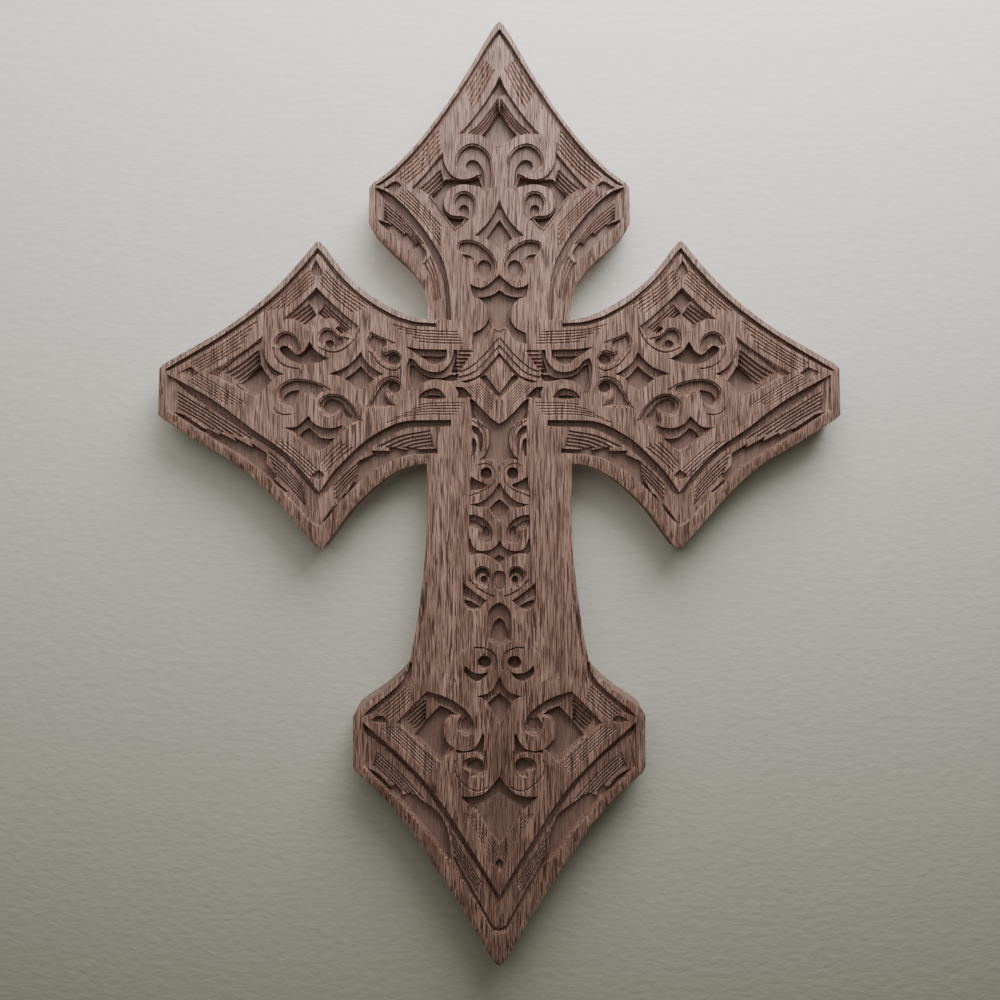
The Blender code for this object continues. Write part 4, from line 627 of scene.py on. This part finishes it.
def carveShaft():
    # the middle lies a little under the face
    cutMiddle("panel", [(0, -22.8, c), (4.6, -21.4), (10, -17.4), (14.4, -11, c), (14.7, -40), (14.8, -70),
        (15, -79.6, c), (10, -81), (5, -80.6), (2, -78.6), (0, -76, c)], mode="add")
    # hollow between the arcs
    cutMiddle("crescent", [(0, -21, c), (5.6, -21, c), (4.9, -25), (5.3, -29.6), (7, -33.4), (9.6, -36.2, c),
        (5.8, -36), (2.2, -37.2), (0, -39.6, c)])
    line([(40.6, -132), (38.6, -120), (36.4, -106), (34.8, -95)])
    # arc groove
    cut("ring", [(13.2, -16.6, c), (9.4, -19.2), (6.8, -22.8), (5.9, -27.6), (6.6, -32.6, c), (7.3, -32.6, c),
        (6.7, -27.8), (7.7, -23.4), (10, -20.1), (13.2, -17.8, c)])
    # arc pockets
    cut("crescent", [(13.3, -19.2, c), (10.6, -20.4), (8.6, -23.2), (7.9, -27), (8.5, -31), (9.6, -34, c),
        (9.8, -30), (10.1, -26.6), (11.2, -24.2), (13.3, -22.8, c)])
    cut("crescent", [(13.3, -25.2, c), (11.7, -26.2), (11, -28.6), (11.2, -31.4), (12, -34.2, c),
        (13.3, -34.8, c)])
    # eye one
    cut("eye", [(9.2, -42.8), (8.5, -40.6), (6.4, -39.7), (4.3, -40.6), (3.6, -42.8), (4.5, -44.9),
        (6.6, -45.6), (8.6, -44.8)])
    # ring one
    cut("ring", [(11.9, -39.4, c), (9.6, -38), (6.3, -37.6), (2.9, -39.6), (1.3, -43.4), (2.4, -47.4),
        (6, -50.9), (15, -54.6, c), (15, -53.5, c), (6.8, -50.1), (3.3, -46.9), (2.3, -43.4), (3.7, -40.2),
        (6.4, -38.6), (9.6, -39.1)])
    # leaf one
    cut("crescent", [(13.8, -44, c), (10.6, -46), (7.4, -47.4), (6, -48.6), (8.8, -50.6), (14.6, -51.6, c)])
    # diamond
    cutMiddle("pocket", [(0, -47, c), (3.8, -52.5), (8.5, -56.3), (14.8, -57.8, c), (10, -59.3), (5.8, -59.8),
        (4.2, -62), (2.2, -64.8), (0, -66, c)])
    # diamond floor
    cutMiddle("eye", [(0, -55.2, c), (2.3, -57), (4.9, -59.8, c), (3.6, -62), (1.8, -64), (0, -65, c)], "lip")
    # scroll two
    cut("pocket", [(15, -62.6, c), (11, -63), (7.2, -64.8), (4.4, -67.8), (3.2, -71.6), (3.8, -75),
        (6.2, -76.8), (8.8, -76), (10, -73.6), (9.8, -71.2), (10.8, -69.8), (13, -69.4), (15, -68.6, c)])
    # scroll two bowl, and the gap beside it
    cut("crescent", [(14.6, -65.4, c), (11, -66), (8.4, -68.2), (6.4, -68.4), (4.7, -70.6), (4.7, -73.6),
        (6.2, -75.2), (8, -74.6), (8.6, -72.4), (8.4, -70.4), (10.6, -68.4), (14.6, -67.6, c)])
    cut("eye", [(8.2, -71.2), (7.7, -69.4), (6.3, -68.8), (5, -69.8), (4.8, -71.9), (5.8, -73.6),
        (7.3, -73.4), (8, -72.4)])
    cut("pocket", [(15, -73.4, c), (13.9, -74.6), (12.9, -77.8), (10.6, -79.9, c), (15, -80.2, c)])
    # bow
    cutMiddle("pocket", [(0, -75, c), (2, -78), (5, -79.8), (10, -80), (14.3, -77.4, c), (14.7, -80.5),
        (13.6, -82.4, c), (9, -81.8), (5.8, -83), (3, -85), (0, -87, c)])
    cutMiddle("eye", [(0, -82.4, c), (2.7, -83.8, c), (1.8, -85.6), (0, -86.6, c)])  # bow floor
    # scroll three, and the middle of the heart
    cut("band", [(12.2, -93.6), (11.6, -90.4), (9.2, -88.4), (6.4, -88.8), (4.8, -91), (4.6, -94.4),
        (5.8, -97), (8.4, -97.2), (11, -95.8)], "ledge")
    cut("crescent", [(12, -94.2, c), (11.4, -90.6), (9, -88.6), (6.4, -89), (4.9, -91.4), (4.6, -94.6, c),
        (5.8, -92.8), (7.4, -91.4), (9.4, -91.6), (10.8, -93.4)])
    cutMiddle("band", [(0, -89.6, c), (2, -90.2), (3.2, -92.6), (3.1, -96), (1.8, -98.8), (0, -99.8, c)])
    # scroll three eye
    cut("eye", [(9.2, -94.8), (8.7, -92.9), (7.2, -92.3), (6, -93.4), (5.9, -95), (7.2, -96.2), (8.5, -96)])
    # stroke groove
    cut("ring", [(14.8, -94.4, c), (10.8, -98.6), (5.6, -101.6), (2.4, -102.6, c), (2, -101.7, c),
        (5.4, -100.6), (10.2, -97.6), (13.9, -93.6, c)])
    # kite
    cut("pocket", [(17.6, -95.2, c), (12.5, -99.6), (6, -104.2, c), (8.2, -106.8), (10.5, -109), (14, -109),
        (16.8, -106.6), (17.8, -102)])
    # kite floor
    cut("eye", [(17.2, -102.8, c), (13.4, -105), (9.4, -107.4, c), (11.4, -108.6), (14, -108.6),
        (16.4, -106.4)], "lip")
    # teardrop
    cutMiddle("pocket", [(0, -104.8, c), (3.6, -107), (5.6, -110.5), (6.1, -116), (5.8, -123.8, c),
        (3, -125.2), (0, -126.6, c)])
    # teardrop floor
    cutMiddle("eye", [(0, -112.8, c), (2.3, -114.8), (4, -119), (4.6, -123.4, c), (2.4, -124.6),
        (0, -125.8, c)], "lip")
    # sunk field beside the teardrop, deeper towards the foot
    cut("field", [(17.6, -107, c), (15, -108.5), (12.6, -110, c), (14.6, -126), (19, -144.8, c), (25, -142.8),
        (29.8, -142, c), (24.6, -126)], mode="slope")
    # body of the lowest scroll, level with the face
    cut("face", [(12.2, -125.4, c), (16.6, -126.9), (20, -131), (20.8, -136.4), (19, -141.4), (15, -145.2),
        (10, -147.4), (4, -143), (0.6, -136), (1.6, -129), (6, -126)])
    # eye four
    cut("eye", [(10.6, -134), (9.6, -131.6), (7.3, -130.7), (4.9, -131.6), (3.9, -134), (4.9, -136.4),
        (7.3, -137.4), (9.6, -136.4)])
    # ring four
    cut("ring", [(12.2, -126.4, c), (7.6, -126.6), (2.8, -129), (0.8, -133.4), (1.4, -138, c), (2.2, -138, c),
        (1.9, -133.6), (3.6, -129.9), (7.6, -127.7), (12.2, -127.5, c)])
    # crescent four
    cut("crescent", [(17.6, -133.4, c), (15.7, -136.3), (12.5, -138.8), (8.5, -139.4), (5.5, -138.4, c),
        (7, -141.4), (10.5, -143.7), (13.5, -142.9), (16.6, -139.6)])
    # last hole
    cutMiddle("pocket", [(0, -140.4, c), (2.5, -146), (6, -149), (11, -150.4, c), (8.5, -151.8),
        (6.3, -153.9), (5.4, -156.2), (4, -158.6), (1.8, -162), (0, -164, c)])
    # last floor
    cutMiddle("eye", [(0, -149.4, c), (3, -151.8), (5.9, -154.4, c), (4.6, -157.2), (2.2, -161),
        (0, -163.2, c)], "lip")


def carveFoot():
    cut("wedge", [(63, -162.2, c), (58.2, -159.8), (55.2, -160.6), (54.6, -163, c), (58.5, -163.8)])
    # left hole
    cut("firstBand", [(35, -148, c), (30, -149.3), (25, -151.1), (20, -153.9), (15.6, -157.6), (12.8, -161.8),
        (12, -165.4), (13, -168.2), (15.8, -169.8), (18.6, -169), (20.4, -166.8), (20.6, -163.6),
        (19, -160.6, c), (22.6, -160.6), (25.4, -162.8), (26.7, -166.4), (26, -171), (23.6, -174.2),
        (21.6, -175.6, c), (24.6, -179.4, c), (28.6, -183, c), (33.5, -178.6), (40, -172.6), (45.5, -167.4),
        (49.8, -163.4, c), (43.8, -156.8), (38.8, -151.8)])
    # scroll
    cut("pocket", [(33.2, -150.2, c), (26, -152.2), (20.4, -155.2), (16, -158.8), (13.3, -162.4),
        (12.7, -165.4), (13.8, -167.8), (16, -169), (18.4, -168.2), (19.8, -166.2), (19.9, -163.6),
        (18.4, -160.6, c), (20.8, -159.4, c), (25.2, -156.8), (30, -154.8, c)])
    # eye
    cut("crescent", [(18.7, -165.2), (18, -162.4), (15.8, -161.4), (13.9, -163.2), (13.6, -165.6),
        (14.9, -167.4), (16.8, -167.9), (18.3, -166.9)])
    # hole stair
    steps("pocket", 5, [(46.5, -161.5), (40.6, -156.2), (35.2, -151.6)], [(41, -169), (38.6, -166.4),
        (35.4, -162.6)])
    # left floor
    cut("floor", [(28.8, -155.4, c), (24.6, -157.2), (20.6, -159.8, c), (23.8, -160.4), (26.4, -162.8),
        (27.5, -166.6), (26.9, -171.4), (24.2, -174.8, c), (25.9, -178.8, c), (28.6, -181.8, c),
        (33.2, -177.8), (38, -173), (41.2, -169.6, c), (35.6, -162.4, c), (32, -158.6)])
    # gap under the scroll, and a line down the side of the lower one
    cut("crescent", [(24, -174, c), (21, -176), (17, -176.9), (13, -175.9), (10.1, -172.8), (8.3, -168.6),
        (7.7, -165.6, c), (7.2, -170), (7.4, -174.6), (7.9, -179.8, c), (10, -178.6), (13.2, -177.6),
        (17, -178), (20.8, -178.2, c)])
    line([(7.1, -176), (6.8, -181), (7.2, -186), (8.8, -190)])
    # low eye
    cut("band", [(18.2, -184.6), (16.6, -181.2), (12.4, -179.8), (8.6, -181), (7.4, -184), (8.2, -187.6),
        (11, -189.6), (14, -189.2), (13.4, -187.2), (15.6, -186.4)])
    cut("crescent", [(15.9, -184.8), (14.3, -182.4), (10.8, -181.5), (8.5, -182.6), (7.9, -185.2),
        (9.1, -187.8), (11.5, -188.2), (13.6, -186.4)])
    # low hole: a dark strip over a lip, a floor, and reeds down to its point
    cutMiddle("bandGroove", [(0, -189.2, c), (3, -193), (7, -197), (12, -198.7), (19, -198.8, c),
        (15, -203.6), (11.6, -206.4, c), (5, -204), (0, -200.6, c)])
    cutMiddle("pocket", [(0, -199, c), (4.4, -201.8), (11.2, -204.6, c), (9.4, -209), (6, -214.6), (3, -219),
        (0, -222.6, c)], "lip")
    reeds(4, [(17.2, -206.4), (10.2, -218.6), (2.4, -233.6)], [(11.8, -208), (6.4, -217.4), (0.4, -227.6)])
    cutMiddle("groove", [(0, -228.6, c), (1.9, -231.2), (0, -236, c)])
    line([(21.4, -180.6), (21.8, -186), (18.4, -192), (11, -196.4), (4.6, -194)])


def depthAt(points, edge):
    # depth below the front face at each point
    gap, _ = distanceTo(points, edge)
    rim = carving["edge"]
    depth = rim["drop"] * np.clip(1 - gap / rim["width"], 0, 1)
    for made in cuts:
        ring, target, mode = made["ring"], made["depth"], made["mode"]
        near = np.flatnonzero(((points > ring.min(0)) & (points < ring.max(0))).all(1))
        if len(near) == 0:
            continue
        gap, inside = distanceTo(points[near], ring)
        share = np.where(inside, np.clip(gap / made["wall"], 0, 1), 0)
        if mode == "set":
            depth[near] += share * (target - depth[near])
        elif mode == "deepen":
            depth[near] += share * np.maximum(target - depth[near], 0)
        elif mode == "raise":
            depth[near] -= share * target * np.clip(depth[near] / carving["lip"]["below"], 0, 1)
        elif mode == "slope":
            fall = (ring[:, 1].max() - points[near, 1]) / np.ptp(ring[:, 1])
            depth[near] += share * target * fall
        else:
            depth[near] += share * target
    return depth


def makeCross():
    edge = drawn(boardOutline, closed=False)
    outer = np.vstack([edge, edge[-2:0:-1] * (-1, 1)])
    rim = offset(outer, carving["edge"]["width"])
    rim = rim[rim[:, 0] < carving["samePoint"]]
    drawing = [(edge, True), (rim, False)]
    for made in cuts:
        drawing.append((made["ring"], True))
        if made["crease"] is not None:
            drawing.append((made["crease"], False))
            continue
        foot = offset(made["ring"], made["wall"])
        if len(foot) > 2:
            drawing.append((foot, True))
    points, lines = [], []
    for ring, closed in drawing:
        first, count = len(points), len(ring)
        points += [Vector(p) for p in ring]
        lines += [(first + i, first + (i + 1) % count) for i in range(count if closed else count - 1)]
    laid, _, faces, _, _, _ = delaunay_2d_cdt(points, lines, [], 0, carving["samePoint"])
    laid = np.array([tuple(p) for p in laid])
    laid[np.abs(laid[:, 0]) < 2 * carving["samePoint"], 0] = 0
    faces = np.array(faces)
    _, inside = distanceTo(laid[faces].mean(1), edge)
    faces = faces[inside]
    depth = depthAt(laid, outer)
    bm = bmesh.new()
    corner = {i: bm.verts.new((laid[i, 0], low[1] + depth[i], laid[i, 1])) for i in np.unique(faces)}
    for face in faces:
        bm.faces.new([corner[i] for i in face])
    bmesh.ops.mirror(bm, geom=bm.verts[:] + bm.edges[:] + bm.faces[:], matrix=Matrix(),
                     merge_dist=carving["samePoint"], axis="X")
    border = [side for side in bm.edges if side.is_boundary]
    sides = bmesh.ops.extrude_edge_only(bm, edges=border)["geom"]
    for vert in [item for item in sides if isinstance(item, bmesh.types.BMVert)]:
        vert.co.y = high[1]
    back = [item for item in sides if isinstance(item, bmesh.types.BMEdge)]
    bmesh.ops.triangle_fill(bm, edges=back, use_beauty=True)
    bmesh.ops.recalc_face_normals(bm, faces=bm.faces[:])
    made = finished(bm, "carvedCross")
    made.data.shade_smooth()
    made.data.set_sharp_from_angle(angle=radians(carving["sharpAngle"]))
    return made


for carve in (carveHead, carveNeck, carveLeftArm, carveBands, carveGrooves, carveFaceReeds,
              carveCentre, carveStar, carveShaft, carveFoot):
    carve()
print("carving drawn,", len(cuts), "cuts")
cross = makeCross()
cross.data.calc_loop_triangles()
print("cross carved,", len(cross.data.loop_triangles), "triangles")

# Oak: noise scales are cells per metre across, through and along the board
oak = {
    "light": (0.305, 0.19, 0.153),
    "middle": (0.17, 0.099, 0.075),
    "dark": (0.095, 0.05, 0.036),
    "stops": {"dark": 0.22, "middle": 0.45, "light": 0.78},
    "sway": {"scale": (25, 25, 6), "detail": 1, "reach": (0.006, 0.006, 0)},      # of the grain lines
    "rings": {"scale": (110, 110, 3), "detail": 2, "range": (0.3, 0.7), "share": 0.4},
    "fibre": {"scale": (2600, 800, 75), "detail": 2, "roughness": 0.6, "range": (0.33, 0.67), "share": 0.6},
    # open pores: short dark strokes along the grain, crowded in the early wood
    "pore": {"colour": (0.05, 0.023, 0.016), "scale": (2200, 900, 90), "detail": 1, "crowd": (0.57, 0.52),
             "edge": 20, "depth": 0.8},
    # painted shade: the floors of the carving are mixed towards a smooth, darker tone the deeper they lie, in
    # place of the shade in the recesses, but not the sides and the back
    "floor": {"colour": (0.14, 0.088, 0.07), "share": 0.75, "depths": (0.0012, 0.0045),
              "ends": (0.007, 0.008)},
    "roughness": 0.5,
    "bump": {"height": 0.0003, "strength": 0.5},
}


def makeOak():
    material, tree, shader = newMaterial("redOak")
    rings, fibre, pore, floor, sway = (oak[name] for name in ("rings", "fibre", "pore", "floor", "sway"))
    place = put(tree, "TexCoord").outputs["Object"]
    wave = noise(tree, place, sway)
    shift = put(tree, "VectorMath", {0: wave.outputs["Color"], 1: (0.5, 0.5, 0.5)}, operation="SUBTRACT")
    shift = put(tree, "VectorMath", {0: shift.outputs[0], 1: sway["reach"]}, operation="MULTIPLY")
    grain = put(tree, "VectorMath", {0: place, 1: shift.outputs[0]}, operation="ADD").outputs[0]
    growth = spread(tree, noise(tree, grain, rings).outputs["Fac"], rings["range"])
    threads = spread(tree, noise(tree, grain, fibre).outputs["Fac"], fibre["range"])
    tone = maths(tree, "MULTIPLY_ADD", growth, rings["share"],
                 maths(tree, "MULTIPLY", threads, fibre["share"]))
    colour = ramp(tree, tone, [(oak["stops"][name], oak[name]) for name in ("dark", "middle", "light")])
    strokes = noise(tree, grain, pore).outputs["Fac"]
    crowd = spread(tree, growth, (0, 1), *pore["crowd"])
    inPore = maths(tree, "MULTIPLY", maths(tree, "SUBTRACT", strokes, crowd), pore["edge"])
    inPore = put(tree, "Clamp", {"Value": inPore}).outputs[0]
    colour = mixed(tree, inPore, colour, (*pore["colour"], 1))
    height = put(tree, "SeparateXYZ", {"Vector": place}).outputs["Y"]
    # painted shade: the deeper a floor lies, the more it is mixed towards the dark floor colour
    paintedRecessShade = spread(tree, height, [low[1] + depth for depth in floor["depths"]], 0, floor["share"])
    front = spread(tree, height, [low[1] + depth for depth in floor["ends"]], 1, 0)
    colour = mixed(tree, maths(tree, "MULTIPLY", paintedRecessShade, front), colour, (*floor["colour"], 1))
    tree.links.new(colour, shader.inputs["Base Color"])
    shader.inputs["Roughness"].default_value = oak["roughness"]
    rise = maths(tree, "MULTIPLY_ADD", inPore, -pore["depth"], threads)
    bump = put(tree, "Bump", {"Height": rise, "Distance": oak["bump"]["height"],
                              "Strength": oak["bump"]["strength"]})
    tree.links.new(bump.outputs["Normal"], shader.inputs["Normal"])
    return material


cross.data.materials.append(makeOak())
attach(cross, "root")
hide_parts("cross")
print("oak ready")

# Stage: a plastered wall just behind the board, seen from its front only
wall = {
    "gap": 0.002, "reach": 2.5,
    "seeThrough": 0.0036,      # rays that start nearer the wall than this pass through it
    "above": 0.24, "pale": (0.66, 0.65, 0.61),      # painted shade: the wall is coloured darker lower down, standing in for the lamp's light falling off
    "below": -0.32, "deep": (0.28, 0.29, 0.23),
    "roughness": 0.85,
    "grit": {"scale": (160, 1, 300), "detail": 3, "height": 0.0012, "strength": 0.3},
}


def makeWall():
    bm = bmesh.new()
    bmesh.ops.create_grid(bm, x_segments=1, y_segments=1, size=wall["reach"])
    bmesh.ops.rotate(bm, verts=bm.verts[:], cent=(0, 0, 0), matrix=Matrix.Rotation(radians(90), 3, "X"))
    bmesh.ops.translate(bm, verts=bm.verts[:], vec=(0, high[1] + wall["gap"], 0))
    made = finished(bm, "wall")
    material, tree, shader = newMaterial("plaster")
    shader.inputs["Roughness"].default_value = wall["roughness"]
    place = put(tree, "TexCoord").outputs["Object"]
    height = put(tree, "SeparateXYZ", {"Vector": place}).outputs["Z"]
    # painted shade: the wall's colour fades from pale at the top to darker at the bottom
    share = spread(tree, height, (wall["below"], wall["above"]))
    paintedFalloff = mixed(tree, share, (*wall["deep"], 1), (*wall["pale"], 1))
    tree.links.new(paintedFalloff, shader.inputs["Base Color"])
    grit = wall["grit"]
    rough = noise(tree, place, grit).outputs["Fac"]
    bump = put(tree, "Bump", {"Height": rough, "Distance": grit["height"], "Strength": grit["strength"]})
    tree.links.new(bump.outputs["Normal"], shader.inputs["Normal"])
    # light reaches the back of the board, and the wall is clear from behind
    behind = put(tree, "NewGeometry").outputs["Backfacing"]
    near = maths(tree, "LESS_THAN", put(tree, "LightPath").outputs["Ray Length"], wall["seeThrough"])
    either = maths(tree, "MAXIMUM", behind, near)
    clear = put(tree, "BsdfTransparent").outputs[0]
    blend = put(tree, "MixShader", {0: either, 1: shader.outputs[0], 2: clear})
    tree.links.new(blend.outputs[0], tree.nodes["Material Output"].inputs["Surface"])
    made.data.materials.append(material)
    return made


makeWall()

# Lights: a soft lamp high on the right, a weak one before the board, one behind it, and a pale room
light = {
    "lamp": {"place": (0.16, -0.31, 0.5), "size": 0.55, "power": 8, "colour": (1, 0.98, 0.985)},
    "fill": {"place": (-0.08, -0.42, 0.34), "size": 0.8, "power": 3.6, "colour": (1, 0.975, 0.95)},
    "rear": {"place": (0.3, 0.9, 0.6), "size": 1, "power": 22, "colour": (1, 0.98, 0.96)},
    "target": (0, 0, 0.05), "room": (1.0, 0.96, 0.72), "roomStrength": 0.12, "backdrop": 0.75,
}


def makeLamp(name):
    made = light[name]
    data = bpy.data.lights.new(name, "AREA")
    data.shape = "DISK"
    data.size = made["size"]
    data.energy = made["power"]
    data.color = made["colour"]
    lamp = addObject(name, data)
    lamp.location = made["place"]
    lamp.rotation_euler = (Vector(light["target"]) - lamp.location).to_track_quat("-Z", "Y").to_euler()
    lamp.visible_camera = False


for name in ("lamp", "fill", "rear"):
    makeLamp(name)
world = bpy.data.worlds.new("room")
world.use_nodes = True
room = world.node_tree.nodes["Background"]
room.inputs["Color"].default_value = (*light["room"], 1)
# the room is dim, but looks pale where it is seen behind the board
seen = put(world.node_tree, "LightPath").outputs["Is Camera Ray"]
strength = spread(world.node_tree, seen, (0, 1), light["roomStrength"], light["backdrop"])
world.node_tree.links.new(strength, room.inputs["Strength"])
bpy.context.scene.world = world
print("stage and lights ready")
